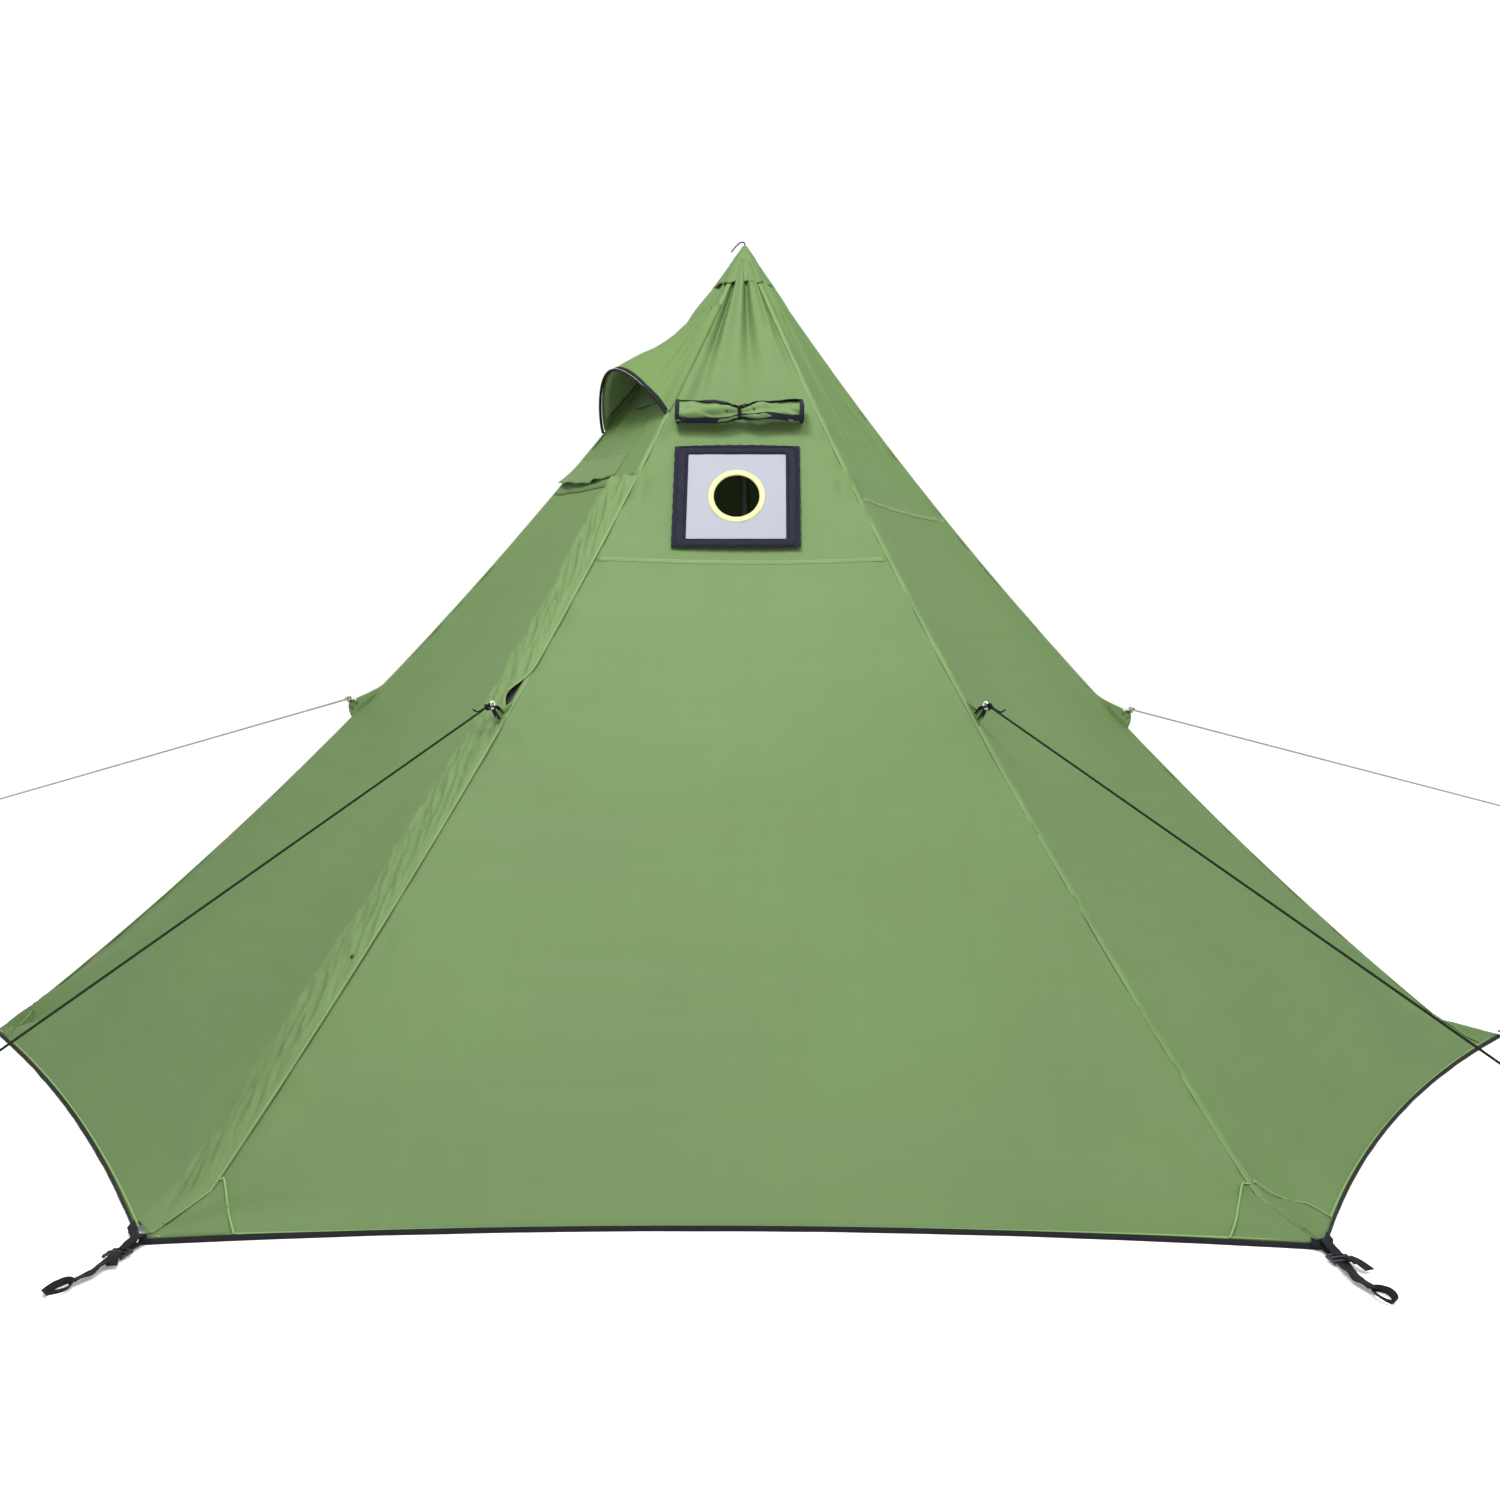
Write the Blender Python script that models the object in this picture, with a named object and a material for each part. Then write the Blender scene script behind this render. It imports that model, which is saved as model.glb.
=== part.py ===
"""Six-sided teepee tent on one centre pole, with a stove jack, a zipped door panel and a hooded vent.

Metres, +Z up, origin on the ground under the peak. The panel with the stove jack faces -Y.
Each ridge of the tent is an arc in the upright plane through the pole, and bows inwards as the cloth
hangs between the peak and its corner. The zip lies on one of those arcs, so its slider runs along a circle.
"""

import math

import bmesh
import bpy
from mathutils import Matrix, Vector

# Tent
CORNER_RADIUS = 1.60
PEAK_HEIGHT = 1.66
RIDGE_HEADINGS = {
    "right": 0,
    "rear_right": 60,
    "rear_left": 120,
    "left": 180,
    "front_left": 240,
    "front_right": 300,
}
RIDGE_BOWS = {  # how far the arc bows in, and how far inside the corner its foot would land
    "right": (0.090, 0.050),
    "rear_right": (0.061, 0.047),
    "rear_left": (0.061, 0.047),
    "left": (0.084, 0.001),
    "front_left": (0.061, 0.047),
    "front_right": (0.061, 0.047),
}
FACES = {  # ridge on each side, and how far the hem curves in at its middle
    "right_rear": ("right", "rear_right", 0.060),
    "rear": ("rear_right", "rear_left", 0.070),
    "left_rear": ("rear_left", "left", 0.060),
    "door": ("left", "front_left", 0.030),
    "front": ("front_left", "front_right", 0.070),
    "right_front": ("front_right", "right", 0.055),
}
CLOTH = 0.001
SEAM_INSET = 0.001
PANEL_COLUMNS = 8
LAST_ARC_ROW = 0.95
PANEL_TOP = 0.030
SEAM_GAP = 0.0004

# Seams, as fractions of the ridge from the peak
FRONT_SEAM = 0.378
SIDE_SEAM = 0.307
VENT_SEAM = 0.283
CAP_HEM = 0.047

# Hem
HEM_TOP = 0.011
HEM_THICKNESS = 0.003
HEM_INSET = 0.0025
PANEL_FOOT = 0.0125
HEM_STEPS = 10

# Door, zip and storm flap: distances across the ridge, measured down the door's face
ZIP_TAPE_START = 0.003
COIL_WIDTH = 0.004
COIL_HEIGHT = 0.0022
ZIP_CENTRE = 0.028
ZIP_GAP = 0.003
ZIP_TAPE_END = 0.0495
DOOR_EDGE = 0.0505
FIXED_ZIP_SPAN = (0.285, 0.945)
DOOR_ZIP_SPAN = (0.312, 0.905)
FLAP_SPAN = (0.285, 0.940)
FLAP_CLOTH = 0.0012
SLIDER_REST = 0.925
ZIP_TILT_AT = 0.615
DOOR_HINGE_GAP = 0.0052
DOOR_TOP = 0.2845
ZIP_STEPS = 20

# Vent
HOOD_SPAN = (0.075, 0.208)
HOOD_STAND_OFF = 0.006
HOOD_RISE = 0.11
HOOD_RISE_DIRECTION = (0.42, 0.91)  # outwards, upwards
HOOD_RIM_RADIUS = 0.003
WINDOW_COLUMNS = (0.2, 0.8)
WINDOW_ROWS = (0.10, 0.19)
MESH_INSET = 0.004

# Stove jack
JACK_CENTRE = 0.3075
JACK_ACROSS = -0.010
JACK_FRAME_SIZE = (0.240, 0.250)
JACK_FRAME_INNER = (0.180, 0.200)
JACK_WINDOW = (0.192, 0.212)
JACK_PANEL_SIZE = (0.188, 0.208)
JACK_HOLE = (0.044, 0.053)
JACK_RING_INNER = (0.0445, 0.0535)
JACK_RING_OUTER = (0.059, 0.069)
ROLL_CENTRE = 0.218
ROLL_LENGTH = 0.245
ROLL_RADIUS = 0.021
ROLL_WAIST = 0.012

# Pole
POLE_RADII = (0.0140, 0.0125, 0.0110)
POLE_WALL = 0.0012
POLE_JOINTS = (0.012, 0.560, 1.110, 1.640)
SPIGOT = 0.060
TURNED_SIDES = 20

# Guy lines
GUY_SEAM = 0.545
FRONT_REACH = 0.042
SIDE_REACH = 0.030
CORD_RADIUS = 0.00175
STAKE_RADII = {"front_left": 2.50, "front_right": 2.60, "left": 3.30, "right": 3.45}
SIDE_CORD_END = 1.90
STAKE_HEIGHT = 0.010
CORD_POINTS = 12
RUNNER_FROM_END = 0.30
SIDE_RUNNER_FROM_END = 0.14

# Corner straps
STRAP_HEADINGS = {
    "right": 0,
    "rear_right": 84,
    "rear_left": 100,
    "left": 180,
    "front_left": 258,
    "front_right": 275,
}
STRAP_LIFT = 0.0035
BUCKLE_OFFSET = 0.009
BUCKLE_LENGTH = 0.060

GREEN = (0.26, 0.40, 0.16)
GREEN_DARK = (0.20, 0.33, 0.12)
BLACK = (0.03, 0.03, 0.035)
GREY = (0.62, 0.64, 0.72)
TAN = (0.83, 0.83, 0.52)
STEEL = (0.62, 0.63, 0.65)


def clear_scene():
    for thing in list(bpy.data.objects):
        bpy.data.objects.remove(thing, do_unlink=True)


def material(name, colour, roughness=0.7, metallic=0.0):
    made = bpy.data.materials.new(name)
    made.use_nodes = True
    shader = made.node_tree.nodes["Principled BSDF"]
    shader.inputs["Base Color"].default_value = (*colour, 1)
    shader.inputs["Roughness"].default_value = roughness
    shader.inputs["Metallic"].default_value = metallic
    return made


def mesh_object(name, points, faces, colour, smooth=False):
    """A closed mesh with its faces turned outwards."""
    shape = bmesh.new()
    made = [shape.verts.new(point) for point in points]
    for face in faces:
        shape.faces.new([made[index] for index in face])
    bmesh.ops.recalc_face_normals(shape, faces=shape.faces)
    bmesh.ops.triangulate(shape, faces=shape.faces)
    mesh = bpy.data.meshes.new(name)
    shape.to_mesh(mesh)
    shape.free()
    if smooth:
        mesh.shade_smooth()
        mesh.set_sharp_from_angle(angle=math.radians(40))
    mesh.materials.append(colour)
    thing = bpy.data.objects.new(name, mesh)
    bpy.context.collection.objects.link(thing)
    return thing


def sweep(name, sections, colour, smooth=False):
    """A solid through closed outlines of the same number of points."""
    count = len(sections[0])
    points = [point for section in sections for point in section]
    faces = [tuple(range(count)), tuple(range(len(points) - count, len(points)))]
    for row in range(len(sections) - 1):
        for index in range(count):
            after = (index + 1) % count
            start = row * count
            faces.append((start + index, start + after, start + count + after, start + count + index))
    return mesh_object(name, points, faces, colour, smooth)


def ring_solid(name, outer, inner, depth, colour):
    """A flat ring in XY, `depth` thick along +Z, between two outlines with matching points."""
    count = len(outer)
    loops = [
        [Vector((x, y, 0)) for x, y in outer],
        [Vector((x, y, depth)) for x, y in outer],
        [Vector((x, y, depth)) for x, y in inner],
        [Vector((x, y, 0)) for x, y in inner],
    ]
    points = [point for loop in loops for point in loop]
    faces = []
    for loop in range(4):
        here = loop * count
        there = (loop + 1) % 4 * count
        for index in range(count):
            after = (index + 1) % count
            faces.append((here + index, here + after, there + after, there + index))
    return mesh_object(name, points, faces, colour)


def turned(name, profile, colour, closed=False):
    """A solid of revolution about Z. An open profile starts and ends on the axis."""
    sides = TURNED_SIDES
    shape = bmesh.new()
    rings = []
    for radius, height in profile:
        if radius < 1e-6:
            rings.append([shape.verts.new((0, 0, height))] * sides)
            continue
        turn = 2 * math.pi / sides
        rings.append(
            [
                shape.verts.new((radius * math.cos(turn * k), radius * math.sin(turn * k), height))
                for k in range(sides)
            ]
        )
    pairs = list(zip(rings, rings[1:]))
    if closed:
        pairs.append((rings[-1], rings[0]))
    for low, high in pairs:
        for k in range(sides):
            after = (k + 1) % sides
            corners = []
            for corner in (low[k], low[after], high[after], high[k]):
                if corner not in corners:
                    corners.append(corner)
            shape.faces.new(corners)
    bmesh.ops.recalc_face_normals(shape, faces=shape.faces)
    mesh = bpy.data.meshes.new(name)
    shape.to_mesh(mesh)
    shape.free()
    mesh.shade_smooth()
    mesh.set_sharp_from_angle(angle=math.radians(40))
    mesh.materials.append(colour)
    thing = bpy.data.objects.new(name, mesh)
    bpy.context.collection.objects.link(thing)
    return thing


def heading(degrees):
    angle = math.radians(degrees)
    return Vector((math.cos(angle), math.sin(angle), 0))


def ridge_arc(name):
    """Centre, radius, first angle and sweep of the ridge's arc, as (distance from the pole, height)."""
    bow, toe = RIDGE_BOWS[name]
    inwards = Vector((-PEAK_HEIGHT, -CORNER_RADIUS)).normalized()
    peak = Vector((0, PEAK_HEIGHT))
    foot = Vector((CORNER_RADIUS, 0)) + inwards * toe
    chord = foot - peak
    outwards = Vector((-chord.y, chord.x)).normalized()
    radius = chord.length_squared / (8 * bow) + bow / 2
    centre = (peak + foot) / 2 + outwards * (radius - bow)
    first = math.atan2(peak.y - centre.y, peak.x - centre.x)
    last = math.atan2(foot.y - centre.y, foot.x - centre.x)
    swing = (last - first + math.pi) % (2 * math.pi) - math.pi
    return centre, radius, first, swing


def ridge_frame(name, fraction):
    """Point on the ridge, and its directions down the ridge, outwards, and sideways (clockwise from above)."""
    centre, radius, first, swing = ridge_arc(name)
    angle = first + swing * fraction
    away = heading(RIDGE_HEADINGS[name])
    point = away * (centre.x + radius * math.cos(angle))
    point.z = centre.y + radius * math.sin(angle)
    outwards = -(away * math.cos(angle) + Vector((0, 0, math.sin(angle))))
    sideways = Vector((away.y, -away.x, 0))
    down = sideways.cross(outwards)
    if down.z > 0:
        down = -down
    return point, down, outwards, sideways


def ridge_point(name, fraction, out=0.0, side=0.0):
    point, _, outwards, sideways = ridge_frame(name, fraction)
    return point + outwards * out + sideways * side


def face_tilt(name, other, fraction):
    """How far the cloth towards the ridge `other` turns down from square to this ridge."""
    point, _, outwards, sideways = ridge_frame(name, fraction)
    ruling = ridge_point(other, fraction) - point
    return math.atan2(-ruling.dot(outwards), abs(ruling.dot(sideways)))


def on_face(name, other, fraction, across, proud):
    """(out, side) of a point `across` from the ridge down the cloth towards `other`, and `proud` of it."""
    tilt = face_tilt(name, other, fraction)
    out = proud * math.cos(tilt) - across * math.sin(tilt)
    return (out, across * math.cos(tilt) + proud * math.sin(tilt))


def face_edge(face, fraction, inset_one, inset_two):
    """The two ends of a face's cloth at one height, inset from its two ridges."""
    one, two, _ = FACES[face]
    out, side = on_face(one, two, fraction, inset_one, 0)
    start = ridge_point(one, fraction, out, -side)
    out, side = on_face(two, one, fraction, inset_two, 0)
    return start, ridge_point(two, fraction, out, side)


def corner(name, height=0.0, away=0.0):
    point = heading(RIDGE_HEADINGS[name]) * (CORNER_RADIUS + away)
    point.z = height
    return point


def face_normal(face):
    first, second, _ = FACES[face]
    peak = Vector((0, 0, PEAK_HEIGHT))
    return (corner(first) - peak).cross(corner(second) - peak).normalized()


def hem_point(face, u, height):
    """A point on the hem, which curves in from the straight line between its two corners."""
    first, second, depth = FACES[face]
    point = corner(first).lerp(corner(second), u)
    inwards = -(corner(first) + corner(second)).normalized()
    point += inwards * (4 * depth * u * (1 - u))
    point.z = height
    return point


def spread(first, last, count):
    return [first + (last - first) * step / (count - 1) for step in range(count)]


def panel_rows(face, first_row, last_row, rows, columns=PANEL_COLUMNS, insets=None, hem=False):
    """The outer surface of a panel, row by row from the top."""
    one, two, _ = FACES[face]
    inset_one, inset_two = insets or (SEAM_INSET, SEAM_INSET)
    grid = []
    for fraction in spread(first_row, last_row, rows):
        start, end = face_edge(face, fraction, inset_one, inset_two)
        grid.append([start.lerp(end, u) for u in spread(0, 1, columns + 1)])
    if hem:
        width = (corner(one) - corner(two)).length
        ends = (inset_one / width, 1 - inset_two / width)
        grid.append([hem_point(face, u, PANEL_FOOT) for u in spread(*ends, columns + 1)])
    return grid


def sheet_solid(name, grid, normal, colour, thickness=CLOTH, window=None):
    """Cloth between a grid of outer points and the same grid moved in. `window` lists the cells left out."""
    rows = len(grid) - 1
    columns = len(grid[0]) - 1
    points = [point for row in grid for point in row]
    points += [point - normal * thickness for point in points]
    inner = len(points) // 2
    cells = {(row, column) for row in range(rows) for column in range(columns)} - (window or set())
    faces = []
    for row, column in sorted(cells):
        a = row * (columns + 1) + column
        b = a + 1
        c = b + columns + 1
        d = a + columns + 1
        for face in ((a, b, c), (a, c, d)):
            faces.append(face)
            faces.append(tuple(index + inner for index in face))
        edges = (
            ((row - 1, column), (a, b)),
            ((row + 1, column), (d, c)),
            ((row, column - 1), (a, d)),
            ((row, column + 1), (b, c)),
        )
        for neighbour, (start, end) in edges:
            if neighbour not in cells:
                faces.append((start, end, end + inner, start + inner))
    used = sorted({index for face in faces for index in face})
    place = {index: count for count, index in enumerate(used)}
    points = [points[index] for index in used]
    faces = [tuple(place[index] for index in face) for face in faces]
    return mesh_object(name, points, faces, colour)


def thick_line(points, thickness):
    """The closed outline of a bent strip whose one side follows `points`."""
    offsets = []
    for index, point in enumerate(points):
        before = points[max(index - 1, 0)]
        after = points[min(index + 1, len(points) - 1)]
        along = (after - before).normalized()
        offsets.append(point + Vector((along.y, -along.x)) * thickness)
    return points + offsets[::-1]


def ellipse(half_width, half_height, count, start=0.0):
    turn = 2 * math.pi / count
    return [
        (half_width * math.cos(start + turn * k), half_height * math.sin(start + turn * k))
        for k in range(count)
    ]


def rectangle_like(loop, width, height):
    """Each point of `loop`, moved out to a square and stretched, so that its diagonals meet the corners."""
    made = []
    for x, y in loop:
        reach = 0.5 / max(abs(x), abs(y))
        made.append((x * reach * width, y * reach * height))
    return made


def circle_like(loop, radius, centre=(0.0, 0.0)):
    """Points on a circle, in the directions of the points of `loop` from its centre."""
    made = []
    for x, y in loop:
        angle = math.atan2(y - centre[1], x - centre[0])
        made.append((centre[0] + radius * math.cos(angle), centre[1] + radius * math.sin(angle)))
    return made


def frame_matrix(origin, x_axis, y_axis, z_axis):
    matrix = Matrix((x_axis, y_axis, z_axis)).transposed().to_4x4()
    matrix.translation = origin
    return matrix


def hang(name, point, things):
    """Parent pieces to an empty that sits on their joint, without moving them."""
    pivot = bpy.data.objects.new(name, None)
    pivot.location = point
    bpy.context.collection.objects.link(pivot)
    for thing in things:
        thing.data.transform(Matrix.Translation(-Vector(point)) @ thing.matrix_basis)
        thing.matrix_basis = Matrix.Identity(4)
        thing.parent = pivot
    return pivot


def fly_panels(green):
    """The cloth of the five fixed faces. The face with the stove jack has a window for it."""
    plans = (
        ("front_upper_panel", "front", PANEL_TOP, FRONT_SEAM - SEAM_GAP, 6, False),
        ("front_lower_panel", "front", FRONT_SEAM + SEAM_GAP, LAST_ARC_ROW, 8, True),
        ("right_front_upper_panel", "right_front", PANEL_TOP, SIDE_SEAM - SEAM_GAP, 5, False),
        ("right_front_lower_panel", "right_front", SIDE_SEAM + SEAM_GAP, LAST_ARC_ROW, 8, True),
        ("right_rear_panel", "right_rear", PANEL_TOP, LAST_ARC_ROW, 11, True),
        ("rear_panel", "rear", PANEL_TOP, LAST_ARC_ROW, 11, True),
        ("left_rear_panel", "left_rear", PANEL_TOP, LAST_ARC_ROW, 11, True),
    )
    made = {}
    for name, face, first, last, rows, hem in plans:
        grid = panel_rows(face, first, last, rows, hem=hem)
        made[name] = sheet_solid(name, grid, face_normal(face), green)
    return made


def vent_panel(green, netting):
    """The cloth over the door, with a netting window under the hood."""
    normal = face_normal("door")
    fractions = (PANEL_TOP, *WINDOW_ROWS, VENT_SEAM - SEAM_GAP)
    columns = (0.0, WINDOW_COLUMNS[0], 0.5, WINDOW_COLUMNS[1], 1.0)
    grid = []
    for fraction in fractions:
        start, end = face_edge("door", fraction, SEAM_INSET, SEAM_INSET)
        grid.append([start.lerp(end, u) for u in columns])
    sheet_solid("vent_panel", grid, normal, green, window={(1, 1), (1, 2)})
    window = []
    for fraction in (WINDOW_ROWS[0] + MESH_INSET / 2, WINDOW_ROWS[1] - MESH_INSET / 2):
        start, end = face_edge("door", fraction, SEAM_INSET, SEAM_INSET)
        ends = (WINDOW_COLUMNS[0] + 2 * MESH_INSET, WINDOW_COLUMNS[1] - 2 * MESH_INSET)
        window.append([start.lerp(end, u) for u in spread(*ends, 4)])
    sheet_solid("vent_mesh", window, normal, netting)


def vent_hood(green, binding):
    """A stiffened hood over the vent, hung from its top edge."""
    away = (heading(RIDGE_HEADINGS["left"]) + heading(RIDGE_HEADINGS["front_left"])).normalized()
    lift = away * HOOD_RISE_DIRECTION[0] + Vector((0, 0, HOOD_RISE_DIRECTION[1]))

    def hood_point(u, v):
        fraction = HOOD_SPAN[0] + (HOOD_SPAN[1] - HOOD_SPAN[0]) * v
        start = ridge_point("left", fraction, HOOD_STAND_OFF)
        end = ridge_point("front_left", fraction, HOOD_STAND_OFF)
        bulge = HOOD_RISE * max(v, 0) ** 1.2 * math.sin(math.pi * u) ** 0.75
        return start.lerp(end, u) + lift * bulge

    columns = spread(0, 1, 13)
    grid = [[hood_point(u, v) for u in columns] for v in spread(0, 1, 6)]
    hood = sheet_solid("vent_hood", grid, face_normal("door"), green)
    rim_place = 1 + 2 * HOOD_RIM_RADIUS / (hood_point(0, 1) - hood_point(0, 0)).length
    path = [hood_point(u, rim_place) for u in columns]
    rim = sweep("vent_hood_rim", tube_sections(path, HOOD_RIM_RADIUS, 8), binding, True)
    top = hood_point(0.5, 0)
    hang("vent_hood_hinge", top, (hood, rim))


def tube_sections(path, radius, sides):
    sections = []
    for index, point in enumerate(path):
        before = path[max(index - 1, 0)]
        after = path[min(index + 1, len(path) - 1)]
        along = (after - before).normalized()
        across = along.cross(Vector((0, 0, 1))).normalized()
        over = across.cross(along)
        turn = 2 * math.pi / sides
        sections.append(
            [
                point + (across * math.cos(turn * k) + over * math.sin(turn * k)) * radius
                for k in range(sides)
            ]
        )
    return sections


def on_door_face(fraction, across, proud):
    return on_face("front_left", "left", fraction, across, proud)


def on_zip_line(across, proud):
    """(out, side) for the zip, which keeps one tilt so that its slider can ride it from end to end."""
    return on_door_face(ZIP_TILT_AT, across, proud)


def ridge_sweep(name, span, outline, colour):
    """Sweep an outline of (out, side) points, given for each height, along the front left ridge."""
    sections = []
    for fraction in spread(*span, ZIP_STEPS + 1):
        section = [ridge_point("front_left", fraction, out, side) for out, side in outline(fraction)]
        sections.append(section)
    return sweep(name, sections, colour)


def zip_outline(tape_edge, coil_edge):
    """The outline of a zip half at each height: a tape that ends in a raised coil."""
    inwards = 1 if tape_edge > coil_edge else -1
    coil_start = coil_edge + inwards * COIL_WIDTH
    corners = (
        (tape_edge, 0),
        (coil_start, 0),
        (coil_start, COIL_HEIGHT / 2),
        (coil_edge, COIL_HEIGHT / 2),
        (coil_edge, -CLOTH - COIL_HEIGHT / 2),
        (coil_start, -CLOTH - COIL_HEIGHT / 2),
        (coil_start, -CLOTH),
        (tape_edge, -CLOTH),
    )
    return lambda _: [on_zip_line(across, proud) for across, proud in corners]


def flap_outline(fraction):
    """The storm flap at one height: sewn to the door, turned up, and laid back over the zip."""
    bend = [
        Vector(on_door_face(fraction, 0.056, 0.0010)),
        Vector(on_door_face(fraction, 0.070, 0.0010)),
        Vector((0.0040, 0.0700)),
        Vector((0.0062, 0.0400)),
        Vector((0.0030, 0.0045)),
    ]
    return [(point.x, point.y) for point in thick_line(bend, FLAP_CLOTH)]


def door(green, tape, binding):
    """The door panel and what is sewn to it, hung on the left ridge."""
    insets = (DOOR_HINGE_GAP, DOOR_EDGE)
    grid = panel_rows("door", DOOR_TOP, LAST_ARC_ROW, 15, insets=insets, hem=True)
    panel = sheet_solid("door_panel", grid, face_normal("door"), green)
    half = ridge_sweep(
        "zip_half_door", DOOR_ZIP_SPAN, zip_outline(ZIP_TAPE_END, ZIP_CENTRE + ZIP_GAP / 2), tape
    )
    flap = ridge_sweep("door_storm_flap", FLAP_SPAN, flap_outline, green)
    hem = hem_strip("door", DOOR_EDGE, 3 * HEM_INSET, binding)
    hang("door_hinge", corner("left", 0.006), (panel, half, flap, hem))


def zip_parts(tape, metal):
    """The fixed half of the zip, and the slider on its arc with a pull hinged on it."""
    outline = zip_outline(ZIP_TAPE_START, ZIP_CENTRE - ZIP_GAP / 2)
    ridge_sweep("zip_half_fixed", FIXED_ZIP_SPAN, outline, tape)
    point, down, outwards, sideways = ridge_frame("front_left", SLIDER_REST)
    tilt = face_tilt("front_left", "left", ZIP_TILT_AT)
    across = sideways * math.cos(tilt) - outwards * math.sin(tilt)
    proud = outwards * math.cos(tilt) + sideways * math.sin(tilt)
    middle = point + across * ZIP_CENTRE - proud * CLOTH / 2
    outline = [(0.0070, 0.0030), (0.0070, 0.0045), (-0.0070, 0.0045), (-0.0070, 0.0030)]
    outline += [(-0.0010, 0.0030), (-0.0010, -0.0030), (-0.0070, -0.0030), (-0.0070, -0.0045)]
    outline += [(0.0070, -0.0045), (0.0070, -0.0030), (0.0010, -0.0030), (0.0010, 0.0030)]
    sections = [
        [middle + across * x + proud * y + down * along for x, y in outline]
        for along in (-0.011, 0.011)
    ]
    slider = sweep("zip_slider", sections, metal)
    pivot = middle + proud * 0.0060 + down * 0.004
    hang("zip_slider_arc", point, (slider,))
    plate = ellipse(1, 1, 12)
    outer = [(x + 0.011, y) for x, y in rectangle_like(plate, 0.022, 0.0066)]
    inner = [(0.018 + 0.0016 * x, 0.0016 * y) for x, y in plate]
    pull = ring_solid("zip_pull", outer, inner, 0.0010, metal)
    pull.matrix_basis = frame_matrix(pivot, down, proud.cross(down), proud)


def cap_and_cord(green, cord):
    """The doubled cloth over the peak, and the cord end that comes out of it."""
    names = list(RIDGE_HEADINGS)
    rings = []
    for out, fractions in ((0.0040, (0.012, 0.030, CAP_HEM)), (0.0015, (CAP_HEM, 0.030, 0.012))):
        rings += [[ridge_point(name, fraction, out) for name in names] for fraction in fractions]
    points = [Vector((0, 0, PEAK_HEIGHT + 0.0040)), Vector((0, 0, PEAK_HEIGHT + 0.0005))]
    points += [point for ring in rings for point in ring]
    count = len(names)
    faces = []
    for index in range(count):
        after = (index + 1) % count
        faces.append((0, 2 + index, 2 + after))
        last = 2 + (len(rings) - 1) * count
        faces.append((1, last + after, last + index))
        for ring in range(len(rings) - 1):
            start = 2 + ring * count
            faces.append(
                (start + index, start + after, start + count + after, start + count + index)
            )
    mesh_object("apex_cap", points, faces, green)
    route = [
        Vector((-0.0010, -0.0010, PEAK_HEIGHT + 0.0065)),
        Vector((-0.0060, -0.0030, PEAK_HEIGHT + 0.0080)),
        Vector((-0.0130, -0.0060, PEAK_HEIGHT + 0.0040)),
        Vector((-0.0220, -0.0090, PEAK_HEIGHT - 0.0060)),
        Vector((-0.0290, -0.0110, PEAK_HEIGHT - 0.0160)),
    ]
    tube("apex_cord", route, 0.0012, cord)


def tube(name, route, radius, colour):
    curve = bpy.data.curves.new(name, "CURVE")
    curve.dimensions = "3D"
    curve.bevel_depth = radius
    curve.bevel_resolution = 2
    curve.use_fill_caps = True
    spline = curve.splines.new("POLY")
    spline.points.add(len(route) - 1)
    for point, place in zip(spline.points, route):
        point.co = (*place, 1)
    curve.materials.append(colour)
    thing = bpy.data.objects.new(name, curve)
    bpy.context.collection.objects.link(thing)
    return thing


def jack_frame_matrix(fraction):
    """A frame on the front panel: X to the right, Y up the slope, Z out of the cloth."""
    rise = 0.03
    low = ridge_point("front_left", fraction + rise).lerp(ridge_point("front_right", fraction + rise), 0.5)
    high = ridge_point("front_left", fraction - rise).lerp(ridge_point("front_right", fraction - rise), 0.5)
    up = (high - low).normalized()
    right = Vector((1, 0, 0))
    origin = ridge_point("front_left", fraction).lerp(ridge_point("front_right", fraction), 0.5)
    origin.x = JACK_ACROSS
    return frame_matrix(origin, right, up, right.cross(up))


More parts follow.
